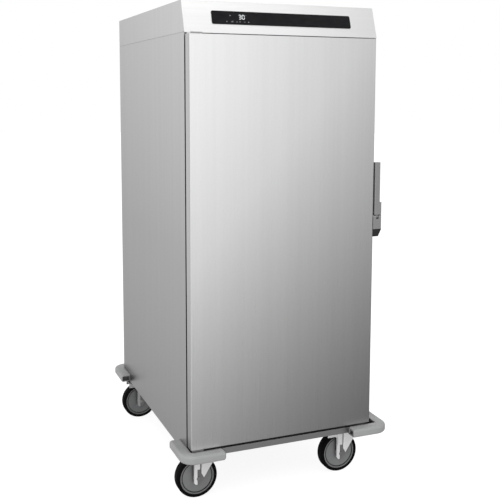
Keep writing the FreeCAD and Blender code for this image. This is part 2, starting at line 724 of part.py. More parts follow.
def chassis():
    """Welded frame: open channels across both ends, box-section beams and castor gussets."""
    low, high, t = CHASSIS_BOTTOM, CHASSIS_TOP, CHANNEL_SHEET
    members = []
    for y0, y1 in ((Y_RAIL, Y_FRAME), (Y_BACK, -Y_RAIL)):
        trough = box(-X_SIDE, X_SIDE, y0, y1, low, high)
        members.append(trough.cut(box(-X_SIDE + t, X_SIDE - t, y0 + t, y1 - t, low + t, high)))
    x_out = X_SKIN - FIT
    x_in = x_out - BEAM_WIDTH
    y_front, y_rear = Y_FRAME + BEAM_WIDTH, Y_BACK - BEAM_WIDTH
    members.append(tube(-x_in, x_in, Y_FRAME, y_front, ALONG_X))
    members.append(tube(-x_in, x_in, y_rear, Y_BACK, ALONG_X))
    for side in (-1, 1):
        xs = sorted((side * x_in, side * x_out))
        members.append(tube(xs[0], xs[1], Y_FRAME, Y_BACK, ALONG_Y))
        xs = sorted((side * x_in, side * (X_CASTOR - GUSSET / 2)))
        for y0, y1 in ((y_front, Y_FRAME + GUSSET), (Y_BACK - GUSSET, y_rear)):
            members.append(box(xs[0], xs[1], y0, y1, low, low + GUSSET_THICK))
    return members


def bumper():
    """Front left corner bumper, rounded outside and square inside."""
    low = CHASSIS_BOTTOM - BUMPER_DROP
    high = low + BUMPER_HEIGHT
    x_end = -X_BUMPER + ARM_FRONT
    y_end = Y_FRONT + ARM_SIDE
    plan = [(-X_BUMPER, Y_FRONT), (x_end, Y_FRONT), (x_end, Y_RAIL),
            (-X_SIDE, Y_RAIL), (-X_SIDE, y_end), (-X_BUMPER, y_end)]
    block = prism([(x, y, low) for x, y in plan], (0, 0, BUMPER_HEIGHT))
    block = block.makeFillet(BUMPER_CORNER, edges_along(block, ALONG_Z, ("x", -X_BUMPER), ("y", Y_FRONT)))
    for spot in ((("x", x_end), ("y", Y_FRONT)), (("x", -X_BUMPER), ("y", y_end))):
        block = block.makeFillet(BUMPER_END, edges_along(block, ALONG_Z, *spot))
    rim = []
    for edge in block.Edges:
        c = edge.CenterOfMass
        on_level = min(abs(c.z - low), abs(c.z - high)) < FLAT
        off_inside = min(abs(c.x + X_SIDE), abs(c.y - Y_RAIL), abs(c.x - x_end), abs(c.y - y_end)) > FLAT
        if on_level and off_inside:
            rim.append(edge)
    block = block.makeFillet(BUMPER_ROUND, rim)
    wall = BUMPER_WALL
    zs = (low + wall, high - wall)
    front = box(x_end - BUMPER_POCKET, x_end, Y_FRONT + wall, Y_RAIL - wall, *zs)
    side = box(-X_BUMPER + wall, -X_SIDE - wall, y_end - BUMPER_POCKET, y_end, *zs)
    return block.cut([front, side])


def hinge_bracket(top):
    """Leaf over or under the door with a foot on the front frame."""
    way = 1 if top else -1
    z_door = DOOR_TOP if top else DOOR_BOTTOM
    zs = sorted((z_door + way * LEAF_GAP, z_door + way * (LEAF_GAP + LEAF_THICK)))
    x0 = X_HINGE_EDGE + LEAF_START
    leaf = box(x0, x0 + LEAF_WIDTH, Y_PIVOT - LEAF_NOSE, Y_FRAME, zs[0], zs[1])
    leaf = leaf.makeFillet(LEAF_ROUND, edges_along(leaf, ALONG_Z, ("y", Y_PIVOT - LEAF_NOSE)))
    z_far = zs[1] if top else zs[0]
    fs = sorted((z_far, z_far - way * FOOT_HEIGHT))
    foot = box(x0, x0 + LEAF_WIDTH, Y_FRAME - FOOT_THICK, Y_FRAME, fs[0], fs[1])
    hole = rod(PIN_RADIUS + RUN_FIT, (X_PIVOT, Y_PIVOT, zs[0]), (0, 0, LEAF_THICK))
    return joined(leaf, foot).cut(hole)


def hinge_pin(top):
    way = 1 if top else -1
    z_door = DOOR_TOP if top else DOOR_BOTTOM
    z_leaf = z_door + way * (LEAF_GAP + LEAF_THICK)
    z_tip = z_door - way * (BUSH_LENGTH - PIN_CLEAR)
    return rod(PIN_RADIUS, (X_PIVOT, Y_PIVOT, z_leaf), (0, 0, z_tip - z_leaf))


def hinge_bush(top, radius, extra):
    """Solid plug at a hinge, as the outside of a bush or the room for it."""
    way = 1 if top else -1
    z_door = DOOR_TOP if top else DOOR_BOTTOM
    return rod(radius, (X_PIVOT, Y_PIVOT, z_door), (0, 0, -way * (BUSH_LENGTH + extra)))


def door_skin():
    """Tray of sheet with rounded upright edges and bush holes top and bottom."""
    tray = box(X_HINGE_EDGE, X_LATCH_EDGE, Y_DOOR, Y_DOOR_BACK, DOOR_BOTTOM, DOOR_TOP)
    tray = tray.makeFillet(DOOR_EDGE, edges_along(tray, ALONG_Z, ("y", Y_DOOR)))
    hollow = box(X_HINGE_EDGE + SHEET, X_LATCH_EDGE - SHEET, Y_DOOR + SHEET, Y_DOOR_BACK,
                 DOOR_BOTTOM + SHEET, DOOR_TOP - SHEET)
    hollow = hollow.makeFillet(DOOR_EDGE - SHEET, edges_along(hollow, ALONG_Z, ("y", Y_DOOR + SHEET)))
    holes = [hinge_bush(top, BUSH_RADIUS + RUN_FIT, 0) for top in (True, False)]
    return tray.cut([hollow] + holes)


def door_core():
    """Insulation inside the door, relieved for the hinge bushes."""
    gap = SHEET + FIT
    core = box(X_HINGE_EDGE + gap, X_LATCH_EDGE - gap, Y_DOOR + gap, Y_DOOR_BACK - gap,
               DOOR_BOTTOM + gap, DOOR_TOP - gap)
    core = core.makeFillet(DOOR_EDGE, edges_along(core, ALONG_Z, ("y", Y_DOOR + gap)))
    return core.cut([hinge_bush(top, BUSH_RADIUS + FIT, FIT) for top in (True, False)])


def door_inner():
    """Back sheet of the door, set between the folded edges."""
    gap = SHEET + RUN_FIT
    return box(X_HINGE_EDGE + gap, X_LATCH_EDGE - gap, Y_DOOR_BACK - SHEET, Y_DOOR_BACK,
               DOOR_BOTTOM + gap, DOOR_TOP - gap)


def gasket():
    """Seal on the back of the door: four strips bevelled towards the frame and mitred at the corners."""
    y_nose = Y_FRAME - SEAL_REST
    inner = GASKET_MARGIN
    outer = GASKET_MARGIN + GASKET_WIDTH

    def block(reach, y0, y1):
        return box(OPEN_LEFT - reach, OPEN_RIGHT + reach, y0, y1, OPEN_BOTTOM - reach, OPEN_TOP + reach)

    ring = block(outer, Y_DOOR_BACK, y_nose).cut(block(inner, Y_DOOR_BACK, y_nose))
    ends = [e for e in ring.Edges if abs(e.CenterOfMass.y - y_nose) < FLAT]
    ring = ring.makeChamfer(GASKET_NOSE, ends)

    def corners(reach):
        x0, x1, z0, z1 = OPEN_LEFT - reach, OPEN_RIGHT + reach, OPEN_BOTTOM - reach, OPEN_TOP + reach
        return [(x0, z0), (x1, z0), (x1, z1), (x0, z1)]

    near, far = corners(inner), corners(outer)
    strips = []
    for start in range(len(near)):
        plan = (near[start - 1], near[start], far[start], far[start - 1])
        wedge = prism([(x, Y_DOOR_BACK, z) for x, z in plan], (0, y_nose - Y_DOOR_BACK, 0))
        strips.append(ring.common(wedge))
    return strips


Z_LATCH = DOOR_BOTTOM + LATCH_RISE
Z_LATCH_TOP = Z_LATCH + LATCH_HEIGHT
X_LATCH_END = X_LATCH_EDGE + LATCH_WIDTH
Y_KNUCKLE = Y_DOOR + KNUCKLE_INSET
Z_KNUCKLE = Z_LATCH_TOP - KNUCKLE_INSET
X_TONGUE = X_LATCH_EDGE + KNUCKLE_START
X_TONGUE_END = X_TONGUE + KNUCKLE_WIDTH
X_SPRING = X_TONGUE_END + 2 * FIT
Y_STRIKE = Y_FRAME - STRIKE_THICK
TAIL_LENGTH = (Y_STRIKE - FIT - TAIL_RADIUS - Y_KNUCKLE) / cos(radians(TAIL_ANGLE - LEVER_TRAVEL))


def latch_body():
    """Housing on the door edge, slotted for the lever and rounded about its pivot."""
    case = box(X_LATCH_EDGE, X_LATCH_END, Y_DOOR, Y_DOOR_BACK, Z_LATCH, Z_LATCH_TOP)
    case = case.makeFillet(LATCH_EDGE, edges_along(case, ALONG_Z, ("x", X_LATCH_END)))
    nose = KNUCKLE_INSET
    block = box(X_LATCH_EDGE, X_LATCH_END, Y_DOOR, Y_KNUCKLE, Z_KNUCKLE, Z_LATCH_TOP)
    cuts = [block.cut(rod(nose, (X_LATCH_EDGE, Y_KNUCKLE, Z_KNUCKLE), (LATCH_WIDTH, 0, 0)))]
    x0, x1 = X_TONGUE - FIT, X_TONGUE_END + FIT
    cuts.append(box(x0, x1, Y_DOOR + LATCH_WALL, Y_DOOR_BACK, Z_LATCH + LATCH_WALL, Z_LATCH_TOP))
    cuts.append(box(x0, x1, Y_DOOR, Y_KNUCKLE, Z_KNUCKLE - KNUCKLE_RADIUS - FIT, Z_LATCH_TOP))
    pocket = (X_SPRING + SPRING_LENGTH + FIT - X_TONGUE_END, 0, 0)
    cuts.append(rod(SPRING_OUTER + FIT, (X_TONGUE_END, Y_KNUCKLE, Z_KNUCKLE), pocket))
    hole = LATCH_PIN_RADIUS + RUN_FIT
    cuts.append(rod(hole, (X_LATCH_EDGE, Y_KNUCKLE, Z_KNUCKLE), (LATCH_WIDTH, 0, 0)))
    return case.cut(cuts)


def latch_cap():
    """Tapered end under the latch housing."""
    top = [(X_LATCH_EDGE, Y_DOOR, Z_LATCH), (X_LATCH_END, Y_DOOR, Z_LATCH),
           (X_LATCH_END, Y_DOOR_BACK, Z_LATCH), (X_LATCH_EDGE, Y_DOOR_BACK, Z_LATCH)]
    z = Z_LATCH - CAP_HEIGHT
    x, y = X_LATCH_END - CAP_TAPER, Y_DOOR + CAP_TAPER / 2
    low = [(X_LATCH_EDGE, y, z), (x, y, z), (x, Y_DOOR_BACK, z), (X_LATCH_EDGE, Y_DOOR_BACK, z)]
    wires = []
    for ring in (top, low):
        corners = [V(*p) for p in ring]
        wires.append(Part.makePolygon(corners + corners[:1]))
    return Part.makeLoft(wires, True, True)


def latch_lever():
    """Pull lever: grip, wider root, knuckle on the pivot and a tail that pushes the strike."""
    x0 = X_LATCH_EDGE + GRIP_GAP
    y1 = Y_DOOR + GRIP_THICK
    z0 = Z_LATCH_TOP + ROOT_GAP
    z1 = z0 + ROOT_HEIGHT
    root = box(x0, X_LATCH_END, Y_DOOR, y1, z0, z1)
    grip = box(x0, x0 + GRIP_WIDTH, Y_DOOR, y1, z1, z1 + GRIP_HEIGHT)
    bar = joined(root, grip)
    upright = [e for e in edges_along(bar, ALONG_Z) if abs(e.CenterOfMass.x - x0 - GRIP_WIDTH) > FLAT]
    bar = bar.makeFillet(GRIP_EDGE, upright)
    half = KNUCKLE_RADIUS - LATCH_PIN_RADIUS / 2
    neck = box(X_TONGUE, X_TONGUE_END, Y_KNUCKLE - half, Y_KNUCKLE + half, Z_KNUCKLE, z0 + GRIP_EDGE)
    knuckle = rod(KNUCKLE_RADIUS, (X_TONGUE, Y_KNUCKLE, Z_KNUCKLE), (KNUCKLE_WIDTH, 0, 0))
    tail = box(X_TONGUE, X_TONGUE_END, Y_KNUCKLE, Y_KNUCKLE + TAIL_LENGTH,
               Z_KNUCKLE - TAIL_RADIUS, Z_KNUCKLE + TAIL_RADIUS)
    tip = rod(TAIL_RADIUS, (X_TONGUE, Y_KNUCKLE + TAIL_LENGTH, Z_KNUCKLE), (KNUCKLE_WIDTH, 0, 0))
    tail = joined(tail, tip)
    tail.rotate(V(0, Y_KNUCKLE, Z_KNUCKLE), V(1, 0, 0), -TAIL_ANGLE)
    hole = rod(LATCH_PIN_RADIUS + RUN_FIT, (X_TONGUE, Y_KNUCKLE, Z_KNUCKLE), (KNUCKLE_WIDTH, 0, 0))
    return joined(bar, neck, knuckle, tail).cut(hole)


def latch_pin():
    return rod(LATCH_PIN_RADIUS, (X_LATCH_EDGE + FIT, Y_KNUCKLE, Z_KNUCKLE), (LATCH_WIDTH - FIT, 0, 0))


def latch_spring():
    """Return spring round the pivot pin beside the knuckle, as the sleeve its coils fill."""
    base = (X_SPRING, Y_KNUCKLE, Z_KNUCKLE)
    sleeve = rod(SPRING_OUTER, base, (SPRING_LENGTH, 0, 0))
    return sleeve.cut(rod(SPRING_INNER, base, (SPRING_LENGTH, 0, 0)))


def latch_magnets():
    """Two magnets on the back of the housing, just short of the strike."""
    rise = LATCH_HEIGHT * (1 - MAGNET_HEIGHT_SHARE) / 2
    magnets = []
    for x in (X_LATCH_EDGE + SHEET, X_LATCH_END - SHEET - MAGNET_WIDTH):
        magnets.append(box(x, x + MAGNET_WIDTH, Y_DOOR_BACK, Y_STRIKE - MAGNET_GAP,
                           Z_LATCH + rise, Z_LATCH_TOP - rise))
    return magnets


def latch_strike():
    x1 = X_SIDE - STRIKE_INSET
    middle = Z_LATCH + LATCH_HEIGHT / 2
    plate = tunnel(x1 - STRIKE_WIDTH, x1, Y_STRIKE, Y_FRAME,
                   middle - STRIKE_HEIGHT / 2, middle + STRIKE_HEIGHT / 2, STRIKE_THICK)
    return plate


def bend(start, middle, end):
    return Part.Arc(start, middle, end).toShape()


def push_handle(x):
    """Bent tube with a round flange at each end, on the back panel."""
    r = HANDLE_BEND
    y_base = Y_BACK + HANDLE_FLANGE_THICK
    y_out = -Y_FRONT - HANDLE_RADIUS
    low, high = HANDLE_LOW, HANDLE_LOW + HANDLE_SPAN
    mid = r * (1 - cos(radians(45)))
    path = [Part.makeLine(V(x, y_base, low), V(x, y_out - r, low)),
            bend(V(x, y_out - r, low), V(x, y_out - mid, low + mid), V(x, y_out, low + r)),
            Part.makeLine(V(x, y_out, low + r), V(x, y_out, high - r)),
            bend(V(x, y_out, high - r), V(x, y_out - mid, high - mid), V(x, y_out - r, high)),
            Part.makeLine(V(x, y_out - r, high), V(x, y_base, high))]
    start = Part.Wire(Part.makeCircle(HANDLE_RADIUS, V(x, y_base, low), V(0, 1, 0)))
    tube = Part.Wire(path).makePipeShell([start], True, True)
    flanges = [rod(HANDLE_FLANGE, (x, Y_BACK, z), (0, HANDLE_FLANGE_THICK, 0)) for z in (low, high)]
    return joined(tube, *flanges)


LEG_INNER = TYRE_WIDTH / 2 + LEG_GAP
LEG_OUTER = LEG_INNER + FORK_SHEET
AXLE_END = LEG_OUTER + AXLE_HEAD_THICK


def leg_slant(z):
    """Front edge of a fork leg at a level."""
    tip, lip = WHEEL_RADIUS - LEG_TIP, CROWN_TOP - LIP_DEPTH
    return -TRAIL + LEG_FRONT + (CROWN_FRONT + TRAIL - LEG_FRONT) * (z - tip) / (lip - tip)


def leg_outline():
    """Side view of the fork about the swivel axis, as (x, z) points."""
    lip = CROWN_TOP - LIP_DEPTH
    tip = WHEEL_RADIUS - LEG_TIP
    back, front = -TRAIL - LEG_BACK, -TRAIL + LEG_FRONT
    low = tip - LEG_TIP_ROUND
    return [(-CROWN_REACH, CROWN_TOP), (-CROWN_REACH, lip), (back, lip), (back, tip),
            (back + LEG_TIP_ROUND, low), (front - LEG_TIP_ROUND, low), (front, tip),
            (CROWN_FRONT, lip), (CROWN_FRONT, CROWN_TOP)]


def leg_ribs(y0):
    """Pressed forms outside one leg: an upright bead, a pad at its head and a tapering cheek."""
    top = CROWN_TOP - FORK_BEND
    tip = WHEEL_RADIUS - LEG_TIP
    back = -TRAIL - LEG_BACK
    end = tip - LEG_TIP_ROUND
    bead = [(back, tip), (back + LEG_TIP_ROUND, end), (back + BEAD_WIDTH, end),
            (back + BEAD_WIDTH, top), (back, top)]
    pad_low = WHEEL_RADIUS + PAD_LEVEL
    pad = [(back, pad_low), (back + PAD_WIDTH, pad_low), (back + PAD_WIDTH, top), (back, top)]
    x_cheek = -TRAIL + CHEEK_START
    low = WHEEL_RADIUS + CHEEK_TIP
    cheek = [(leg_slant(low), low), (CROWN_FRONT, CROWN_TOP - LIP_DEPTH), (CROWN_FRONT, top),
             (x_cheek, top), (x_cheek, low + CHEEK_SHOULDER)]
    ribs = []
    for outline, rise in ((bead, BEAD_RISE), (pad, PAD_RISE), (cheek, BEAD_RISE)):
        ribs.append(prism([(x, y0, z) for x, z in outline], (0, -rise, 0)))
    bevel = edges_along(ribs[-1], ALONG_Z, ("x", x_cheek), ("y", y0 - BEAD_RISE))
    ribs[-1] = ribs[-1].makeChamfer(BEAD_RISE * CHEEK_BEVEL_SHARE, bevel)
    return ribs


def fork():
    """Pressed fork about its swivel axis, with the axle trailing to -x."""
    low = WHEEL_RADIUS - LEG_TIP - LEG_TIP_ROUND
    shell = box(-CROWN_REACH, CROWN_FRONT, -LEG_OUTER, LEG_OUTER, low, CROWN_TOP)
    shell = shell.makeFillet(FORK_BEND, edges_along(shell, ALONG_X, ("z", CROWN_TOP)))
    room = box(-CROWN_REACH, CROWN_FRONT, -LEG_INNER, LEG_INNER, low, CROWN_BOTTOM)
    room = room.makeFillet(FORK_BEND - FORK_SHEET, edges_along(room, ALONG_X, ("z", CROWN_BOTTOM)))
    outline = prism([(x, -LEG_OUTER, z) for x, z in leg_outline()], (0, 2 * LEG_OUTER, 0))
    nook = edges_along(outline, ALONG_Y, ("x", -TRAIL - LEG_BACK), ("z", CROWN_TOP - LIP_DEPTH))
    body = shell.cut(room).common(outline.makeFillet(LIP_ROUND, nook))
    crown = rod(CROWN_RADIUS, (0, 0, CROWN_BOTTOM), (0, 0, FORK_SHEET))
    ribs = leg_ribs(-LEG_OUTER)
    ribs = ribs + [mirrored(rib, ALONG_Y) for rib in ribs]
    cuts = [rod(KINGPIN_RADIUS + RUN_FIT, (0, 0, CROWN_BOTTOM), (0, 0, FORK_SHEET))]
    cuts.append(rod(AXLE_RADIUS + RUN_FIT, (-TRAIL, -LEG_OUTER, WHEEL_RADIUS), (0, 2 * LEG_OUTER, 0)))
    for side in (-1, 1):
        seat = (-TRAIL, side * LEG_OUTER, WHEEL_RADIUS)
        cuts.append(rod(AXLE_HEAD + AXLE_HEAD_ROOM, seat, (0, side * PAD_RISE, 0)))
    return joined(body, crown, *ribs).cut(cuts)


def axle():
    """Through bolt with a low round head at each end."""
    shank = rod(AXLE_RADIUS, (-TRAIL, -AXLE_END, WHEEL_RADIUS), (0, 2 * AXLE_END, 0))
    heads = []
    for side in (-1, 1):
        end = (-TRAIL, side * AXLE_END, WHEEL_RADIUS)
        heads.append(rod(AXLE_HEAD, end, (0, -side * AXLE_HEAD_THICK, 0)))
    return joined(shank, *heads)


def wheel_centre():
    """Disc with a hub boss, and a groove inside the lip of its rim."""
    hub = LEG_INNER - HUB_GAP
    rim = RIM_WIDTH / 2
    disc = rim - DISC_RECESS
    floor = rim - RIM_GROOVE_DEPTH
    bore = AXLE_RADIUS + RUN_FIT
    lip = RIM_RADIUS - RIM_LIP
    side = [(bore, hub), (HUB_BOSS, hub), (HUB_BOSS + DISC_RECESS, disc), (lip - RIM_GROOVE, disc),
            (lip - RIM_GROOVE, floor), (lip, floor), (lip, rim), (RIM_RADIUS, rim)]
    profile = side + [(r, -h) for r, h in reversed(side)]
    return turned(profile, (-TRAIL, 0, WHEEL_RADIUS), ALONG_Y)


def tyre():
    """Ring with rounded shoulders."""
    half = TYRE_WIDTH / 2
    inner = RIM_RADIUS + BOND_GAP
    profile = [(inner, -half), (WHEEL_RADIUS, -half), (WHEEL_RADIUS, half), (inner, half)]
    ring = turned(profile, (-TRAIL, 0, WHEEL_RADIUS), ALONG_Y)
    rims = rims_at(ring, "y", -half) + rims_at(ring, "y", half)
    return ring.makeFillet(TYRE_ROUND, [rim for rim in rims if rim.Curve.Radius > inner + FLAT])


def castor_plate():
    """Bolted top plate with the fixed half of the swivel race under it."""
    x, y = PLATE_WIDTH / 2, PLATE_LENGTH / 2
    plate = box(-x, x, -y, y, PLATE_BOTTOM, CHASSIS_BOTTOM)
    plate = plate.makeFillet(PLATE_HOLE_INSET / 2, edges_along(plate, ALONG_Z))
    race = Part.makeCone(RACE_RADIUS, RACE_TOP_RADIUS, RACE_HEIGHT, V(0, 0, RACE_BOTTOM))
    holes = [rod(KINGPIN_RADIUS + RUN_FIT, (0, 0, RACE_BOTTOM), (0, 0, RACE_HEIGHT + PLATE_THICK))]
    x, y = x - PLATE_HOLE_INSET, y - PLATE_HOLE_INSET
    for sx, sy in ((-1, -1), (-1, 1), (1, -1), (1, 1)):
        holes.append(rod(PLATE_HOLE, (sx * x, sy * y, PLATE_BOTTOM), (0, 0, PLATE_THICK)))
    return joined(plate, race).cut(holes)


def kingpin():
    """Headed pin that holds the fork to its plate."""
    z = CROWN_BOTTOM - FIT - KINGPIN_HEAD_THICK
    shank = rod(KINGPIN_RADIUS, (0, 0, z), (0, 0, CHASSIS_BOTTOM - z))
    head = rod(KINGPIN_HEAD, (0, 0, z), (0, 0, KINGPIN_HEAD_THICK))
    return joined(shank, head)


CASTORS = {
    "front_left": (-X_CASTOR, Y_FRAME + CASTOR_FRONT),
    "front_right": (X_CASTOR, Y_FRAME + CASTOR_FRONT),
    "rear_left": (-X_CASTOR, Y_BACK - CASTOR_BACK),
    "rear_right": (X_CASTOR, Y_BACK - CASTOR_BACK),
}


def at(shape, place):
    copy = shape.copy()
    copy.translate(V(place[0], place[1], 0))
    return copy


save("left_side_panel", side_panel())
save("right_side_panel", mirrored(side_panel(), ALONG_X))
save("back_panel", back_panel())
save("front_frame", *front_frame())
save("inner_liner", *inner_liner())
save("wall_insulation", *insulation())
save("floor_pan", floor_pan())
save("top_deck", top_deck())
save("top_cover", *top_cover())
save("fascia", fascia())
save("control_glass", control_glass())
save("control_board", control_board())
save("relay_block", relay_block())
save("terminal_block", terminal_block())
save("mains_gland", mains_gland())
save("fan_motor", fan_motor())
save("fan_impeller", fan_impeller())
save("heater_ring", heater_ring())
save("air_guide_panel", air_guide())
save("temperature_probe", probe())

RACK_WALLS = ((OPEN_LEFT, 1), (OPEN_RIGHT, -1))
save("rack_posts", *[rack_post(x, side, y) for x, side in RACK_WALLS for y in post_centres()])
save("tray_runners", *[runner(x, side, n) for x, side in RACK_WALLS for n in range(LEVELS)])

save("chassis_frame", *chassis())
corner = bumper()
save("front_left_bumper", corner)
save("front_right_bumper", mirrored(corner, ALONG_X))
save("rear_left_bumper", mirrored(corner, ALONG_Y))
save("rear_right_bumper", mirrored(mirrored(corner, ALONG_X), ALONG_Y))
save("push_handles", push_handle(-X_HANDLE), push_handle(X_HANDLE))

save("hinge_brackets", hinge_bracket(True), hinge_bracket(False))
save("hinge_pins", hinge_pin(True), hinge_pin(False))
sleeves = []
for top in (True, False):
    sleeves.append(hinge_bush(top, BUSH_RADIUS, 0).cut(hinge_bush(top, PIN_RADIUS + RUN_FIT, 0)))
save("hinge_bushes", *sleeves)
save("door_skin", door_skin())
save("door_insulation", door_core())
save("door_inner_panel", door_inner())
save("door_gasket", *gasket())
save("latch_body", latch_body())
save("latch_end_cap", latch_cap())
save("latch_lever", latch_lever())
save("latch_pivot_pin", latch_pin())
save("latch_spring", latch_spring())
save("latch_magnets", *latch_magnets())
save("latch_strike", latch_strike())

save("castor_plates", *[at(castor_plate(), place) for place in CASTORS.values()])
save("kingpins", *[at(kingpin(), place) for place in CASTORS.values()])
for where, place in CASTORS.items():
    save(where + "_fork", at(fork(), place))
    save(where + "_axle", at(axle(), place))
    save(where + "_wheel_centre", at(wheel_centre(), place))
    save(where + "_tyre", at(tyre(), place))
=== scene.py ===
from math import atan, cos, pi, sin

import bmesh
import bpy
from mathutils import Matrix, Vector


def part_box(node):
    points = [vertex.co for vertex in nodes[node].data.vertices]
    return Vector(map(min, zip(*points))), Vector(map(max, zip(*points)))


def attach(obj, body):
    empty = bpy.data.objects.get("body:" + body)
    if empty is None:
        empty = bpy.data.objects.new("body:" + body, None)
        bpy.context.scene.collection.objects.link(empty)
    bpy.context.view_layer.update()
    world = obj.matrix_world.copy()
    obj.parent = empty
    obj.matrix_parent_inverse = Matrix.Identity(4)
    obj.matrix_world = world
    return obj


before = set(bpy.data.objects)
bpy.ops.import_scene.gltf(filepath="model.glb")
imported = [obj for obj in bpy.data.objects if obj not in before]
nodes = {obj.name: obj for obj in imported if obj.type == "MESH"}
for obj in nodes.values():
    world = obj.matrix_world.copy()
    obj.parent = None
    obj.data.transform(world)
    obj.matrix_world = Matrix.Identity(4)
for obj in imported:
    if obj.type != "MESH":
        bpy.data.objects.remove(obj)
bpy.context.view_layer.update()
scene = bpy.context.scene
scene.view_settings.view_transform = "Standard"

MM = 0.001
LEFT = (-1.0, 0.0, 0.0)
RIGHT = (1.0, 0.0, 0.0)
FRONT = (0.0, -1.0, 0.0)
BACK = (0.0, 1.0, 0.0)
DOWN = (0.0, 0.0, -1.0)
WHITE = (1.0, 1.0, 1.0, 1.0)
CORNERS = ("front_left", "front_right", "rear_left", "rear_right")


# Camera, fitted to the cart's edges in the photograph
CAMERA_PLACE = (-1.27320, -3.28715, 1.51031)
CAMERA_YAW = 0.3839
CAMERA_PITCH = 0.10899
CAMERA_ROLL = -0.0024
CAMERA_LENS = 59.692
CAMERA_SHIFT = -0.1294
CAMERA_REACH = 200.0
# The height sets the field of view, and the smaller width leaves room round the part in other views
SENSOR_HEIGHT = 36.0
SENSOR_WIDTH = 29.0

camera_data = bpy.data.cameras.new("camera")
camera_data.sensor_fit = "VERTICAL"
camera_data.sensor_height = SENSOR_HEIGHT
camera_data.sensor_width = SENSOR_WIDTH
camera_data.lens = CAMERA_LENS
camera_data.shift_y = CAMERA_SHIFT
camera_data.clip_end = CAMERA_REACH
camera = bpy.data.objects.new("camera", camera_data)
camera.location = CAMERA_PLACE
camera.rotation_euler = (pi / 2 - CAMERA_PITCH, CAMERA_ROLL, -CAMERA_YAW)
scene.collection.objects.link(camera)
scene.camera = camera


# Node helpers
NOISE_SPAN = (0.3, 0.7)
FACING_SPAN = (0.5, 0.95)
GAP_SHADE_SPAN = (0.2, 0.75)
GAP_SHADE_SAMPLES = 8


def ranged(tree, value, low, high, source=NOISE_SPAN):
    """Value moved from one span to another, and held at its ends."""
    node = tree.nodes.new("ShaderNodeMapRange")
    node.inputs["From Min"].default_value = source[0]
    node.inputs["From Max"].default_value = source[1]
    node.inputs["To Min"].default_value = low
    node.inputs["To Max"].default_value = high
    tree.links.new(value, node.inputs["Value"])
    return node.outputs["Result"]


def worked_out(tree, operation, *values):
    """Result of one operation on plain numbers or on values from other nodes."""
    node = tree.nodes.new("ShaderNodeMath")
    node.operation = operation
    for socket, value in zip(node.inputs, values):
        if isinstance(value, float):
            socket.default_value = value
        else:
            tree.links.new(value, socket)
    return node.outputs["Value"]


def measured(tree, reading, way):
    """Length of a coordinate reading along a way."""
    coord = tree.nodes.new("ShaderNodeTexCoord")
    dot = tree.nodes.new("ShaderNodeVectorMath")
    dot.operation = "DOT_PRODUCT"
    dot.inputs[1].default_value = way
    tree.links.new(coord.outputs[reading], dot.inputs[0])
    return dot.outputs["Value"]


def along(tree, way, start, end, last):
    """Factor that goes from 1 to a last value along a way through the part, for painted light and shade."""
    return ranged(tree, measured(tree, "Object", way), 1.0, last, (start, end))


def facing(tree, way, last, span=FACING_SPAN):
    """Factor that goes from 1 to a last value on faces that look along a way, for painted light and shade.
    """
    return ranged(tree, measured(tree, "Normal", way), 1.0, last, span)


def painted_gap_shade(tree, reach):
    """Painted shade: factor from 0 deep in a gap to 1 out in the open."""
    node = tree.nodes.new("ShaderNodeAmbientOcclusion")
    node.samples = GAP_SHADE_SAMPLES
    node.inputs["Distance"].default_value = reach
    return ranged(tree, node.outputs["AO"], 0.0, 1.0, GAP_SHADE_SPAN)


def stretched_noise(tree, scale, detail):
    """Noise in the part's own coordinates, with its own scale along each axis."""
    coord = tree.nodes.new("ShaderNodeTexCoord")
    mapping = tree.nodes.new("ShaderNodeMapping")
    mapping.inputs["Scale"].default_value = scale
    noise = tree.nodes.new("ShaderNodeTexNoise")
    noise.inputs["Scale"].default_value = 1.0
    noise.inputs["Detail"].default_value = detail
    tree.links.new(coord.outputs["Object"], mapping.inputs["Vector"])
    tree.links.new(mapping.outputs["Vector"], noise.inputs["Vector"])
    return noise.outputs["Fac"]


def tinted(tree, value, dark, light):
    """Colour between two shades, led by a value from 0 to 1."""
    node = tree.nodes.new("ShaderNodeMix")
    node.data_type = "RGBA"
    node.inputs["A"].default_value = (*dark, 1.0)
    node.inputs["B"].default_value = (*light, 1.0)
    tree.links.new(value, node.inputs["Factor"])
    return node.outputs["Result"]


def scaled_colour(tree, colour, value):
    """Colour times a factor."""
    node = tree.nodes.new("ShaderNodeMix")
    node.data_type = "RGBA"
    node.blend_type = "MULTIPLY"
    node.inputs["Factor"].default_value = 1.0
    tree.links.new(colour, node.inputs["A"])
    tree.links.new(value, node.inputs["B"])
    return node.outputs["Result"]


def bumped(tree, shader, value, depth, strength):
    """Fine relief from a value, as a bend of the shader's normal."""
    node = tree.nodes.new("ShaderNodeBump")
    node.inputs["Strength"].default_value = strength
    node.inputs["Distance"].default_value = depth
    tree.links.new(value, node.inputs["Height"])
    tree.links.new(node.outputs["Normal"], shader.inputs["Normal"])


def grey(level):
    return (level, level, level)


# Light: a soft sky that is brighter above and to the left, a key lamp at the front left and one above
SKY_WAY = (-0.36, -0.06, 0.93)
SKY_SPAN = (-1.0, 1.0)
SKY_STOPS = ((0.16, 0.04), (0.26, 0.20), (0.34, 0.55), (0.42, 0.88), (0.50, 1.0), (1.0, 1.0))
KEY_PLACE = (-2.6, -3.2, 3.6)
KEY_TARGET = (0.0, -0.3, 1.0)
KEY_SIZE = (2.4, 2.0)
KEY_POWER = 60.0
TOP_PLACE = (0.2, -0.6, 4.2)
TOP_TARGET = (0.0, 0.0, 1.0)
TOP_SIZE = (3.0, 3.0)
TOP_POWER = 40.0


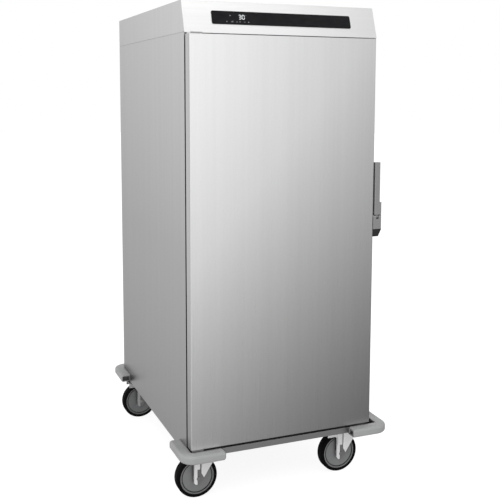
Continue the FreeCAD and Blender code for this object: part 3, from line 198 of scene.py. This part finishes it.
def make_world():
    """Sky with a fade for light and reflections, and plain white behind the part."""
    world = bpy.data.worlds.new("studio")
    scene.world = world
    world.use_nodes = True
    tree = world.node_tree
    tree.nodes.clear()
    ramp = tree.nodes.new("ShaderNodeValToRGB")
    elements = ramp.color_ramp.elements
    while len(elements) < len(SKY_STOPS):
        elements.new(0.5)
    for element, (place, level) in zip(elements, SKY_STOPS):
        element.position = place
        element.color = (*grey(level), 1.0)
    sky = tree.nodes.new("ShaderNodeBackground")
    plain = tree.nodes.new("ShaderNodeBackground")
    plain.inputs["Color"].default_value = WHITE
    path = tree.nodes.new("ShaderNodeLightPath")
    mix = tree.nodes.new("ShaderNodeMixShader")
    out = tree.nodes.new("ShaderNodeOutputWorld")
    link = tree.links.new
    link(ranged(tree, measured(tree, "Generated", SKY_WAY), 0.0, 1.0, SKY_SPAN), ramp.inputs["Fac"])
    link(ramp.outputs["Color"], sky.inputs["Color"])
    link(path.outputs["Is Camera Ray"], mix.inputs["Fac"])
    link(sky.outputs["Background"], mix.inputs[1])
    link(plain.outputs["Background"], mix.inputs[2])
    link(mix.outputs["Shader"], out.inputs["Surface"])


def area_light(name, place, target, size, power):
    data = bpy.data.lights.new(name, "AREA")
    data.shape = "RECTANGLE"
    data.size, data.size_y = size
    data.energy = power
    lamp = bpy.data.objects.new(name, data)
    lamp.location = place
    way = Vector(target) - Vector(place)
    lamp.rotation_euler = way.to_track_quat("-Z", "Y").to_euler()
    scene.collection.objects.link(lamp)


make_world()
area_light("key", KEY_PLACE, KEY_TARGET, KEY_SIZE, KEY_POWER)
area_light("top", TOP_PLACE, TOP_TARGET, TOP_SIZE, TOP_POWER)


# Kinds of material
STEEL_DRIFT = 0.04
GRAIN_DETAIL = 4.0
GRAIN_SHADE = 0.975
GRAIN_ROUGHNESS = 0.03
GRAIN_DEPTH = 0.08 * MM
GRAIN_STRENGTH = 0.14
STREAK_SHARE = 0.06
STREAK_DETAIL = 2.0
SKIN_DETAIL = 5.0
SKIN_ROUGHNESS = 0.06
SKIN_DEPTH = 0.2 * MM
SKIN_STRENGTH = 0.4
MOTTLE_SCALE = (9.0, 9.0, 9.0)
MOTTLE_DETAIL = 3.0
PLAIN_GLOSS = 0.5


def blank(name, colour, metallic, roughness):
    made = bpy.data.materials.new(name)
    made.use_nodes = True
    shader = made.node_tree.nodes["Principled BSDF"]
    shader.inputs["Base Color"].default_value = (*colour, 1.0)
    shader.inputs["Metallic"].default_value = metallic
    shader.inputs["Roughness"].default_value = roughness
    return made, shader


def shaded(tree, colour, fades, turns, reach):
    """Colour with painted light and shade: fades along the part, turns on some faces and painted shade in
    gaps within a reach.
    """
    for fade in fades:
        colour = scaled_colour(tree, colour, along(tree, *fade))
    for turn in turns:
        colour = scaled_colour(tree, colour, facing(tree, *turn))
    if reach:
        colour = scaled_colour(tree, colour, painted_gap_shade(tree, reach))
    return colour


def brushed_steel(name, level, roughness, grain, drift=STEEL_DRIFT, metallic=1.0, fades=(), turns=(),
                  reach=0.0):
    """Satin sheet: fine grain along one way, with faint wider streaks."""
    made, shader = blank(name, grey(level), metallic, roughness)
    tree = made.node_tree
    fine = stretched_noise(tree, grain, GRAIN_DETAIL)
    wide = stretched_noise(tree, tuple(g * STREAK_SHARE for g in grain), STREAK_DETAIL)
    dark = grey(level * (1 - drift))
    light = grey(min(level * (1 + drift), 1.0))
    colour = tinted(tree, ranged(tree, wide, 0.0, 1.0), dark, light)
    colour = scaled_colour(tree, colour, ranged(tree, fine, GRAIN_SHADE, 1.0))
    # Painted light and shade from the fades, turns and gaps
    colour = shaded(tree, colour, fades, turns, reach)
    tree.links.new(colour, shader.inputs["Base Color"])
    rough = ranged(tree, fine, roughness - GRAIN_ROUGHNESS, roughness + GRAIN_ROUGHNESS)
    tree.links.new(rough, shader.inputs["Roughness"])
    bumped(tree, shader, fine, GRAIN_DEPTH, GRAIN_STRENGTH)
    return made


def moulded(name, dark, light, roughness, scale, depth=SKIN_DEPTH, gloss=PLAIN_GLOSS, turns=(), reach=0.0):
    """Plastic or rubber with a fine moulded skin and slight mottling."""
    made, shader = blank(name, light, 0.0, roughness)
    shader.inputs["Specular IOR Level"].default_value = gloss
    tree = made.node_tree
    skin = stretched_noise(tree, (scale, scale, scale), SKIN_DETAIL)
    cloud = stretched_noise(tree, MOTTLE_SCALE, MOTTLE_DETAIL)
    colour = tinted(tree, ranged(tree, cloud, 0.0, 1.0), dark, light)
    # Painted shade on turned faces and in gaps
    colour = shaded(tree, colour, (), turns, reach)
    tree.links.new(colour, shader.inputs["Base Color"])
    rough = ranged(tree, skin, roughness - SKIN_ROUGHNESS, roughness + SKIN_ROUGHNESS)
    tree.links.new(rough, shader.inputs["Roughness"])
    bumped(tree, shader, skin, depth, SKIN_STRENGTH)
    return made


# Steel: grain as noise scales along width, depth and height
UPRIGHT = (900.0, 900.0, 7.0)
ALONG_DEPTH = (900.0, 7.0, 900.0)
ALONG_WIDTH = (7.0, 900.0, 900.0)
FINE_GRAIN = (260.0, 260.0, 260.0)
ALLOY_GRAIN = (300.0, 300.0, 300.0)
ZINC_GRAIN = (160.0, 160.0, 160.0)
# Fades of painted light and shade: the way, where along it the fade starts and ends, and the factor at its
# end. The door's fades are a painted reflection, the side, fascia and rear fades painted shade.
DOOR_PAINTED_FADES = ((RIGHT, -0.39, 0.36, 0.68), ((0.55, 0.0, -0.45), -0.60, 0.10, 0.62))
SIDE_PAINTED_FADES = ((BACK, -0.44, 0.51, 0.78), (DOWN, -1.84, -0.95, 0.72))
FASCIA_PAINTED_FADES = ((RIGHT, 0.0, 0.39, 0.87),)
REAR_PAINTED_FADES = ((BACK, -0.25, 0.25, 0.42),)
# Turns of painted light and shade: the way a face looks, the factor there and, where it differs, how far it
# must look that way. Factors above 1 are painted highlights, below 1 painted shade.
DOOR_PAINTED_TURNS = ((LEFT, 0.49, (0.15, 0.6)), (RIGHT, 2.2))
COVER_PAINTED_TURNS = ((BACK, 2.0), (RIGHT, 1.7))
LEAF_PAINTED_TURNS = ((FRONT, 0.55),)
# Reaches of painted shade: how wide a gap is still dark
SEAM_REACH = 12 * MM
FRAME_REACH = 50 * MM
FASCIA_REACH = 30 * MM
RAIL_REACH = 30 * MM
LATCH_REACH = 10 * MM

door_steel = brushed_steel("door_steel", level=0.97, roughness=0.30, grain=UPRIGHT, drift=0.015,
                           fades=DOOR_PAINTED_FADES, turns=DOOR_PAINTED_TURNS)
# The left side and the top cover are a darker copy of the cabinet steel: painted shade
side_steel = brushed_steel("side_steel", level=0.545, roughness=0.34, grain=UPRIGHT, drift=0.02,
                           fades=SIDE_PAINTED_FADES, reach=SEAM_REACH)
cover_steel = brushed_steel("cover_steel", level=0.545, roughness=0.36, grain=UPRIGHT, drift=0.02,
                            metallic=0.85, fades=SIDE_PAINTED_FADES, turns=COVER_PAINTED_TURNS, reach=SEAM_REACH)
back_steel = brushed_steel("back_steel", level=0.85, roughness=0.38, grain=UPRIGHT, drift=0.02,
                           metallic=0.85, reach=SEAM_REACH)
frame_steel = brushed_steel("frame_steel", level=0.44, roughness=0.34, grain=UPRIGHT, drift=0.02,
                            reach=FRAME_REACH)
fascia_steel = brushed_steel("fascia_steel", level=0.75, roughness=0.38, grain=ALONG_WIDTH, drift=0.02,
                             fades=FASCIA_PAINTED_FADES, reach=FASCIA_REACH)
liner_steel = brushed_steel("liner_steel", level=0.62, roughness=0.30, grain=ALONG_DEPTH)
rack_steel = brushed_steel("rack_steel", level=0.66, roughness=0.26, grain=ALONG_DEPTH)
rail_steel = brushed_steel("rail_steel", level=0.40, roughness=0.42, grain=ALONG_WIDTH, reach=RAIL_REACH)
bright_steel = brushed_steel("bright_steel", level=0.70, roughness=0.22, grain=FINE_GRAIN, drift=0.02)
hinge_steel = brushed_steel("hinge_steel", level=0.70, roughness=0.26, grain=FINE_GRAIN, drift=0.02,
                            turns=LEAF_PAINTED_TURNS)
bolt_zinc = brushed_steel("bolt_zinc", level=0.66, roughness=0.34, grain=ZINC_GRAIN, drift=0.03,
                          metallic=0.6, fades=REAR_PAINTED_FADES)
fan_alloy = brushed_steel("fan_alloy", level=0.74, roughness=0.34, grain=ALLOY_GRAIN)
latch_grey = brushed_steel("latch_grey", level=0.265, roughness=0.44, grain=UPRIGHT, metallic=0.5,
                           reach=LATCH_REACH)


# Zinc: castor plates, and forks with painted shade in the web beside the wheel; all carry painted shade
# towards the rear
FORK_STEP = 9 * MM
FORK_RAISE_START = 0.5 * MM
FORK_RAISE_END = 3.0 * MM
FORK_LIP_START = 38 * MM
FORK_LIP_END = 46 * MM
FRONT_WEB_SHADE = 0.22
REAR_WEB_SHADE = 0.5


def zinc(name):
    return brushed_steel(name, level=0.78, roughness=0.42, grain=ZINC_GRAIN, drift=0.05, metallic=0.4,
                         fades=REAR_PAINTED_FADES)


def pressed_zinc(corner):
    """Bright zinc on the raised forms of a fork, with painted shade in the recessed web beside the wheel.
    """
    made = zinc(corner + "_zinc")
    tree = made.node_tree
    base = tree.nodes["Principled BSDF"].inputs["Base Color"]
    low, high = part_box(corner + "_fork")
    coord = tree.nodes.new("ShaderNodeTexCoord")
    parts = tree.nodes.new("ShaderNodeSeparateXYZ")
    tree.links.new(coord.outputs["Object"], parts.inputs["Vector"])
    middle = (low.y + high.y) / 2
    away = worked_out(tree, "ABSOLUTE", worked_out(tree, "SUBTRACT", parts.outputs["Y"], middle))
    web = (high.y - low.y) / 2 - FORK_STEP
    raised = ranged(tree, away, 0.0, 1.0, (web + FORK_RAISE_START, web + FORK_RAISE_END))
    lip = ranged(tree, parts.outputs["X"], 1.0, 0.0, (low.x + FORK_LIP_START, low.x + FORK_LIP_END))
    either = worked_out(tree, "MAXIMUM", raised, lip)
    web_shade = FRONT_WEB_SHADE if "front" in corner else REAR_WEB_SHADE
    colour = base.links[0].from_socket
    colour = scaled_colour(tree, colour, ranged(tree, either, web_shade, 1.0, (0.0, 1.0)))
    tree.links.new(colour, base)
    return made


plate_zinc = zinc("plate_zinc")


# Plastic, rubber, wool and the rest
WOOL_DEPTH = 2.0 * MM
BOARD_DEPTH = 0.05 * MM
WHEEL_REACH = 50 * MM
BUMPER_REACH = 20 * MM
BUMPER_DARK = (0.25, 0.252, 0.254)
BUMPER_LIGHT = (0.29, 0.292, 0.294)
BUMPER_ACROSS_SHADE = 0.2
BUMPER_INWARD_SHADE = 0.4

wool = moulded("wool", dark=(0.50, 0.44, 0.26), light=(0.70, 0.64, 0.44), roughness=0.95, scale=420.0,
               depth=WOOL_DEPTH)
# Wheel centres carry painted shade near the fork; the rear copy is darker, painted shade under the cart
wheel_grey = moulded("wheel_grey", dark=(0.135, 0.137, 0.139), light=(0.165, 0.167, 0.169), roughness=0.50,
                     scale=600.0, reach=WHEEL_REACH)
painted_shade_grey = moulded("painted_shade_grey", dark=(0.095, 0.097, 0.099), light=(0.12, 0.122, 0.124), roughness=0.50,
                      scale=600.0, reach=WHEEL_REACH)
tyre_black = moulded("tyre_black", dark=grey(0.001), light=grey(0.003), roughness=0.80, scale=800.0,
                     gloss=0.08)
seal_rubber = moulded("seal_rubber", dark=(0.014, 0.014, 0.015), light=(0.024, 0.024, 0.025),
                      roughness=0.62, scale=900.0)
black_plastic = moulded("black_plastic", dark=(0.012, 0.012, 0.013), light=(0.022, 0.022, 0.023),
                        roughness=0.45, scale=900.0)
motor_black = moulded("motor_black", dark=(0.02, 0.02, 0.022), light=(0.04, 0.04, 0.043), roughness=0.5,
                      scale=500.0)
board_green = moulded("board_green", dark=(0.012, 0.09, 0.035), light=(0.02, 0.14, 0.05), roughness=0.4,
                      scale=700.0, depth=BOARD_DEPTH)
bush_plastic = moulded("bush_plastic", dark=(0.70, 0.69, 0.64), light=(0.78, 0.77, 0.73), roughness=0.4,
                       scale=700.0)
ferrite = moulded("ferrite", dark=(0.03, 0.03, 0.032), light=(0.05, 0.05, 0.052), roughness=0.55,
                  scale=600.0)


def bumper_grey(corner):
    """Grey moulding with painted shade on its faces towards the cart and in gaps."""
    across = RIGHT if "left" in corner else LEFT
    inward = BACK if "front" in corner else FRONT
    turns = ((across, BUMPER_ACROSS_SHADE), (inward, BUMPER_INWARD_SHADE))
    return moulded(corner + "_grey", dark=BUMPER_DARK, light=BUMPER_LIGHT, roughness=0.55, scale=700.0,
                   turns=turns, reach=BUMPER_REACH)


# Control strip: black overlay and lit marks
OVERLAY_COLOUR = (0.007, 0.007, 0.008)
OVERLAY_DARK = (0.005, 0.005, 0.006)
OVERLAY_LIGHT = (0.009, 0.009, 0.010)
OVERLAY_ROUGHNESS = 0.12
OVERLAY_POLISH = (0.09, 0.16)
OVERLAY_GLOSS = 0.10
OVERLAY_SCALE = (30.0, 30.0, 60.0)
LAMP_SCALE = (400.0, 400.0, 400.0)
LAMP_ROUGHNESS = 0.4
LAMP_DARK_SHARE = 0.85
DIGIT_COLOUR = (0.50, 0.52, 0.53)
DIGIT_GLOW = 0.45
ICON_COLOUR = (0.13, 0.135, 0.14)
ICON_GLOW = 0.25


def control_panel_black():
    """Glossy printed overlay, a little worn in its polish."""
    made, shader = blank("control_black", OVERLAY_COLOUR, 0.0, OVERLAY_ROUGHNESS)
    tree = made.node_tree
    cloud = stretched_noise(tree, OVERLAY_SCALE, MOTTLE_DETAIL)
    tree.links.new(ranged(tree, cloud, *OVERLAY_POLISH), shader.inputs["Roughness"])
    colour = tinted(tree, ranged(tree, cloud, 0.0, 1.0), OVERLAY_DARK, OVERLAY_LIGHT)
    tree.links.new(colour, shader.inputs["Base Color"])
    shader.inputs["Specular IOR Level"].default_value = OVERLAY_GLOSS
    return made


def lamp_white(name, colour, strength):
    """Lit marking behind the overlay, uneven as a diffused lamp is."""
    made, shader = blank(name, colour, 0.0, LAMP_ROUGHNESS)
    tree = made.node_tree
    cloud = stretched_noise(tree, LAMP_SCALE, STREAK_DETAIL)
    shader.inputs["Emission Strength"].default_value = strength
    dark = tuple(c * LAMP_DARK_SHARE for c in colour)
    light = tinted(tree, ranged(tree, cloud, 0.0, 1.0), dark, colour)
    tree.links.new(light, shader.inputs["Emission Color"])
    return made


black_glass = control_panel_black()
digit_white = lamp_white("digit_white", DIGIT_COLOUR, DIGIT_GLOW)
icon_white = lamp_white("icon_white", ICON_COLOUR, ICON_GLOW)


# Finish of every node
PAINT = {
    "left_side_panel": side_steel, "right_side_panel": back_steel, "back_panel": back_steel,
    "front_frame": frame_steel, "top_cover": cover_steel, "fascia": fascia_steel, "door_skin": door_steel,
    "inner_liner": liner_steel, "floor_pan": liner_steel, "top_deck": liner_steel,
    "air_guide_panel": liner_steel, "door_inner_panel": liner_steel,
    "rack_posts": rack_steel, "tray_runners": rack_steel, "chassis_frame": rail_steel,
    "push_handles": bright_steel, "hinge_brackets": hinge_steel, "hinge_pins": bright_steel,
    "latch_strike": bright_steel, "latch_pivot_pin": bright_steel, "latch_spring": bright_steel,
    "kingpins": bright_steel, "castor_plates": plate_zinc, "temperature_probe": bright_steel,
    "heater_ring": bright_steel, "wall_insulation": wool, "door_insulation": wool,
    "control_glass": black_glass, "control_board": board_green, "relay_block": black_plastic,
    "terminal_block": black_plastic, "mains_gland": black_plastic, "latch_end_cap": black_plastic,
    "fan_motor": motor_black, "fan_impeller": fan_alloy, "hinge_bushes": bush_plastic,
    "door_gasket": seal_rubber, "latch_body": latch_grey, "latch_lever": latch_grey,
    "latch_magnets": ferrite,
}
for corner in CORNERS:
    PAINT[corner + "_bumper"] = bumper_grey(corner)
    PAINT[corner + "_fork"] = pressed_zinc(corner)
    PAINT[corner + "_axle"] = rail_steel
    PAINT[corner + "_wheel_centre"] = wheel_grey if "front" in corner else painted_shade_grey
    PAINT[corner + "_tyre"] = tyre_black

for node in nodes:
    mesh = nodes[node].data
    mesh.materials.clear()
    mesh.materials.append(PAINT[node])


# Small pieces
def add_piece(name, bm, finish, body):
    mesh = bpy.data.meshes.new(name)
    bmesh.ops.recalc_face_normals(bm, faces=bm.faces)
    bm.to_mesh(mesh)
    bm.free()
    mesh.materials.append(finish)
    piece = bpy.data.objects.new(name, mesh)
    scene.collection.objects.link(piece)
    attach(piece, body)


def add_prism(bm, outline, place, depth):
    """Closed block over a flat outline; place(u, v, n) gives a point at height n over it."""
    low = [bm.verts.new(place(u, v, 0.0)) for u, v in outline]
    high = [bm.verts.new(place(u, v, depth)) for u, v in outline]
    count = len(outline)
    bm.faces.new(list(reversed(low)))
    bm.faces.new(high)
    for i in range(count):
        j = (i + 1) % count
        bm.faces.new((low[i], low[j], high[j], high[i]))


def add_rings(bm, rings):
    """Skin through rings of equal count, closed over both ends."""
    made = [[bm.verts.new(p) for p in ring] for ring in rings]
    for a, b in zip(made, made[1:]):
        for i in range(len(a)):
            j = (i + 1) % len(a)
            bm.faces.new((a[i], a[j], b[j], b[i]))
    bm.faces.new(list(reversed(made[0])))
    bm.faces.new(made[-1])


# Marks on the control strip: u runs along the glass and v up its slope, both from its middle
FASCIA_RUN = 39.0
FASCIA_RISE = 116.0
LEAN = atan(FASCIA_RUN / FASCIA_RISE)
HALF_GLASS = 1.0 * MM
GLASS_UP = Vector((0.0, sin(LEAN), cos(LEAN)))
GLASS_OUT = Vector((0.0, -cos(LEAN), sin(LEAN)))
glass_low, glass_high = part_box("control_glass")
GLASS_FACE = (glass_low + glass_high) / 2 + GLASS_OUT * HALF_GLASS
MARK_SINK = 0.1 * MM
MARK_DEPTH = 0.25 * MM

SEGMENTS = {"3": "abcdg", "0": "abcdef"}
DIGIT_LEFTS = {"3": -175 * MM, "0": -162 * MM}
DIGIT_FOOT = -4.5 * MM
DIGIT_WIDTH = 8.5 * MM
DIGIT_HEIGHT = 15.5 * MM
SEGMENT_HALF = 1.25 * MM
SEGMENT_GAP_SHARE = 0.4

ICON_ROW = -15.4 * MM
# Round marks: u, v and radius
DISCS = ((-208 * MM, 8.0 * MM, 2.2 * MM), (-147 * MM, 9.5 * MM, 1.3 * MM),
         (-223 * MM, ICON_ROW, 2.0 * MM), (-139 * MM, ICON_ROW, 2.2 * MM))
DISC_SIDES = 16
STEP_COUNT = 3
STEP_START = -206 * MM
STEP_PITCH = 3.2 * MM
STEP_WIDTH = 1.8 * MM
STEP_FOOT = ICON_ROW - 2.2 * MM
STEP_HEIGHT = 3.0 * MM
STEP_GROWTH = 1.6 * MM
# Arrows: u, and 1 for up or -1 for down
ARROWS = ((-184 * MM, 1), (-172 * MM, -1))
ARROW_HALF = 3.0 * MM
ARROW_FOOT = 1.8 * MM
ARROW_TIP = 2.4 * MM
DASH_PLACE = -154 * MM
DASH_WIDTH = 6.0 * MM
DASH_HEIGHT = 1.6 * MM


def on_glass(u, v, n):
    return GLASS_FACE + Vector((u, 0.0, 0.0)) + GLASS_UP * v + GLASS_OUT * (n - MARK_SINK)


def add_mark(bm, outline):
    add_prism(bm, outline, on_glass, MARK_DEPTH)


def segment_bar(a, b):
    """Bar with pointed ends between two points."""
    way = (Vector(b) - Vector(a)).normalized() * SEGMENT_HALF
    side = Vector((-way.y, way.x))
    start = Vector(a) + way * SEGMENT_GAP_SHARE
    end = Vector(b) - way * SEGMENT_GAP_SHARE
    points = (start, start + way + side, end - way + side, end, end - way - side, start + way - side)
    return [(p.x, p.y) for p in points]


def add_digit(bm, sign, left):
    right = left + DIGIT_WIDTH
    foot = DIGIT_FOOT
    middle = foot + DIGIT_HEIGHT / 2
    top = foot + DIGIT_HEIGHT
    ends = {"a": ((left, top), (right, top)), "b": ((right, top), (right, middle)),
            "c": ((right, middle), (right, foot)), "d": ((left, foot), (right, foot)),
            "e": ((left, foot), (left, middle)), "f": ((left, middle), (left, top)),
            "g": ((left, middle), (right, middle))}
    for name in SEGMENTS[sign]:
        add_mark(bm, segment_bar(*ends[name]))


def disc_outline(u, v, radius):
    angles = [2 * pi * i / DISC_SIDES for i in range(DISC_SIDES)]
    return [(u + radius * cos(a), v + radius * sin(a)) for a in angles]


def bar_outline(u, v, width, height):
    w = width / 2
    h = height / 2
    return [(u - w, v - h), (u + w, v - h), (u + w, v + h), (u - w, v + h)]


digits = bmesh.new()
for sign, left in DIGIT_LEFTS.items():
    add_digit(digits, sign, left)
add_piece("display_digits", digits, digit_white, "cabinet")

icons = bmesh.new()
for disc in DISCS:
    add_mark(icons, disc_outline(*disc))
for number in range(STEP_COUNT):
    height = STEP_HEIGHT + STEP_GROWTH * number
    u = STEP_START + STEP_PITCH * number
    add_mark(icons, bar_outline(u, STEP_FOOT + height / 2, STEP_WIDTH, height))
for u, up in ARROWS:
    foot = ICON_ROW - up * ARROW_FOOT
    add_mark(icons, [(u - ARROW_HALF, foot), (u + ARROW_HALF, foot), (u, ICON_ROW + up * ARROW_TIP)])
add_mark(icons, bar_outline(DASH_PLACE, ICON_ROW, DASH_WIDTH, DASH_HEIGHT))
add_piece("display_icons", icons, icon_white, "cabinet")


# Heads of screws and bolts
HEAD_SIDES = 24
HEAD_SINK = 0.05 * MM
# Dome of a screw head: shares of its radius and height
DOME_SHARES = ((1.0, 0.25), (0.90, 0.65), (0.70, 0.93))
SOCKET_SHARE = 0.46
SOCKET_FOOT_SHARE = 0.35
WASHER_WIDTH_SHARE = 1.25
WASHER_HEIGHT_SHARE = 0.25
BEVEL_FOOT_SHARE = 0.88
BEVEL_TOP_SHARE = 0.92


def stand_on(place, out):
    """Frame with its third axis along a face's outward way."""
    return Matrix.Translation(Vector(place)) @ Vector(out).to_track_quat("Z", "Y").to_matrix().to_4x4()


def round_ring(radius):
    return lambda angle: radius


def six_sided_ring(corner):
    return lambda angle: corner * cos(pi / 6) / cos((angle % (pi / 3)) - pi / 6)


def ring_at(spot, reach, level):
    """Ring of points at one level; reach(angle) is a point's distance from the axis."""
    angles = [2 * pi * i / HEAD_SIDES for i in range(HEAD_SIDES)]
    return [spot @ Vector((reach(a) * cos(a), reach(a) * sin(a), level)) for a in angles]


def add_button_head(bm, place, out, radius, height):
    """Domed screw head with a six-sided socket, seated just under the face."""
    spot = stand_on(place, out)
    socket = six_sided_ring(radius * SOCKET_SHARE)
    rings = [ring_at(spot, round_ring(radius), -HEAD_SINK)]
    for wide_share, level_share in DOME_SHARES:
        rings.append(ring_at(spot, round_ring(radius * wide_share), height * level_share))
    rings.append(ring_at(spot, socket, height))
    rings.append(ring_at(spot, socket, height * SOCKET_FOOT_SHARE))
    add_rings(bm, rings)


def add_hex_bolt(bm, place, out, flat, height):
    """Six-sided head with a bevelled top on a round washer."""
    spot = stand_on(place, out)
    corner = flat / 2 / cos(pi / 6)
    washer = round_ring(corner * WASHER_WIDTH_SHARE)
    washer_top = height * WASHER_HEIGHT_SHARE
    head = six_sided_ring(corner)
    rings = [ring_at(spot, washer, -HEAD_SINK), ring_at(spot, washer, washer_top),
             ring_at(spot, head, washer_top), ring_at(spot, head, height * BEVEL_FOOT_SHARE),
             ring_at(spot, round_ring(flat / 2 * BEVEL_TOP_SHARE), height)]
    add_rings(bm, rings)


def inset(low, high, distance):
    """Two places, each a distance in from its end."""
    return (low + distance, high - distance)


# Screws and bolts: a screw is its radius and height, a bolt its width over flats and height
BACK_SCREW = (5.0 * MM, 2.6 * MM)
BACK_SCREW_EDGE = 14 * MM
BACK_SCREW_END = 30 * MM
BACK_SCREW_ROWS = 6
COVER_SCREW_PLACES = (-350 * MM, -120 * MM, 120 * MM, 350 * MM)
COVER_SCREW_RISE = 11 * MM
HANDLE_SCREW = (3.2 * MM, 1.8 * MM)
HANDLE_SCREWS = 3
HANDLE_SCREW_REACH = 15 * MM
HANDLE_FLANGE_RADIUS = 20 * MM
HANDLE_FLANGE = 3 * MM
CASTOR_BOLT = (13 * MM, 6.0 * MM)
CASTOR_PLATE = 4 * MM
CASTOR_PLATE_HALF_WIDTH = 42.5 * MM
CASTOR_PLATE_HALF_DEPTH = 52.5 * MM
CASTOR_BOLT_EDGE = 12 * MM
LATCH_SCREW = (3.4 * MM, 1.4 * MM)
LATCH_CAP_NOSE = 11 * MM
LATCH_SCREW_FRONT = 16 * MM
LATCH_SCREW_BACK = 11 * MM
STRIKE_SCREW = (3.4 * MM, 1.2 * MM)
STRIKE_SCREW_END = 7 * MM
GUIDE_SCREW = (4.5 * MM, 2.4 * MM)
GUIDE_SCREW_SIDE = 30 * MM
GUIDE_SCREW_FOOT = 25 * MM
GUIDE_SCREW_TOP = 18 * MM
GLAND_NUT = (33 * MM, 8.0 * MM)

heads = bmesh.new()
low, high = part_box("back_panel")
back_face = high.y
row_pitch = (high.z - low.z - 2 * BACK_SCREW_END) / (BACK_SCREW_ROWS - 1)
for x in inset(low.x, high.x, BACK_SCREW_EDGE):
    for row in range(BACK_SCREW_ROWS):
        add_button_head(heads, (x, back_face, low.z + BACK_SCREW_END + row_pitch * row), BACK, *BACK_SCREW)
low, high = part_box("top_cover")
for x in COVER_SCREW_PLACES:
    add_button_head(heads, (x, high.y, low.z + COVER_SCREW_RISE), BACK, *BACK_SCREW)
add_piece("back_screws", heads, bright_steel, "cabinet")

heads = bmesh.new()
low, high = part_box("push_handles")
flange_face = low.y + HANDLE_FLANGE
for x in inset(low.x, high.x, HANDLE_FLANGE_RADIUS):
    for z in inset(low.z, high.z, HANDLE_FLANGE_RADIUS):
        for number in range(HANDLE_SCREWS):
            turn = pi / 2 + number * 2 * pi / HANDLE_SCREWS
            spot = (x + HANDLE_SCREW_REACH * cos(turn), flange_face, z + HANDLE_SCREW_REACH * sin(turn))
            add_button_head(heads, spot, BACK, *HANDLE_SCREW)
add_piece("handle_screws", heads, bright_steel, "cabinet")

bolts = bmesh.new()
low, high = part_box("castor_plates")
plate_under = high.z - CASTOR_PLATE
bolt_across = CASTOR_PLATE_HALF_WIDTH - CASTOR_BOLT_EDGE
bolt_along = CASTOR_PLATE_HALF_DEPTH - CASTOR_BOLT_EDGE
for middle_x in inset(low.x, high.x, CASTOR_PLATE_HALF_WIDTH):
    for middle_y in inset(low.y, high.y, CASTOR_PLATE_HALF_DEPTH):
        for x in (middle_x - bolt_across, middle_x + bolt_across):
            for y in (middle_y - bolt_along, middle_y + bolt_along):
                add_hex_bolt(bolts, (x, y, plate_under), DOWN, *CASTOR_BOLT)
add_piece("castor_bolts", bolts, bolt_zinc, "cabinet")

heads = bmesh.new()
low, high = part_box("latch_end_cap")
cap_middle = (low.x + high.x - LATCH_CAP_NOSE) / 2
for y in (low.y + LATCH_SCREW_FRONT, high.y - LATCH_SCREW_BACK):
    add_button_head(heads, (cap_middle, y, low.z), DOWN, *LATCH_SCREW)
add_piece("latch_screws", heads, bright_steel, "door")

heads = bmesh.new()
low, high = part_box("latch_strike")
for z in inset(low.z, high.z, STRIKE_SCREW_END):
    add_button_head(heads, ((low.x + high.x) / 2, low.y, z), FRONT, *STRIKE_SCREW)
add_piece("strike_screws", heads, bright_steel, "cabinet")

heads = bmesh.new()
low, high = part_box("air_guide_panel")
for x in inset(low.x, high.x, GUIDE_SCREW_SIDE):
    for z in (low.z + GUIDE_SCREW_FOOT, high.z - GUIDE_SCREW_TOP):
        add_button_head(heads, (x, low.y, z), FRONT, *GUIDE_SCREW)
add_piece("guide_screws", heads, bright_steel, "cabinet")

nut = bmesh.new()
low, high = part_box("mains_gland")
add_hex_bolt(nut, ((low.x + high.x) / 2, back_face, (low.z + high.z) / 2), BACK, *GLAND_NUT)
add_piece("gland_nut", nut, black_plastic, "cabinet")


# Floor
FLOOR_REACH = 30.0
FLOOR_SIDES = 96
FLOOR_LEVEL = 0.25
FLOOR_ROUGHNESS = 0.9
FLOOR_GLOW = 0.88

floor_angles = [2 * pi * i / FLOOR_SIDES for i in range(FLOOR_SIDES)]
rim = [(FLOOR_REACH * cos(a), FLOOR_REACH * sin(a), 0.0) for a in floor_angles]
floor_mesh = bpy.data.meshes.new("floor")
floor_mesh.from_pydata(rim, [], [tuple(range(FLOOR_SIDES))])
floor = bpy.data.objects.new("floor", floor_mesh)
scene.collection.objects.link(floor)
floor_paint, floor_shader = blank("floor_paint", grey(FLOOR_LEVEL), 0.0, FLOOR_ROUGHNESS)
floor_shader.inputs["Specular IOR Level"].default_value = 0.0
floor_shader.inputs["Emission Color"].default_value = WHITE
floor_shader.inputs["Emission Strength"].default_value = FLOOR_GLOW
floor_mesh.materials.append(floor_paint)
floor.visible_glossy = False
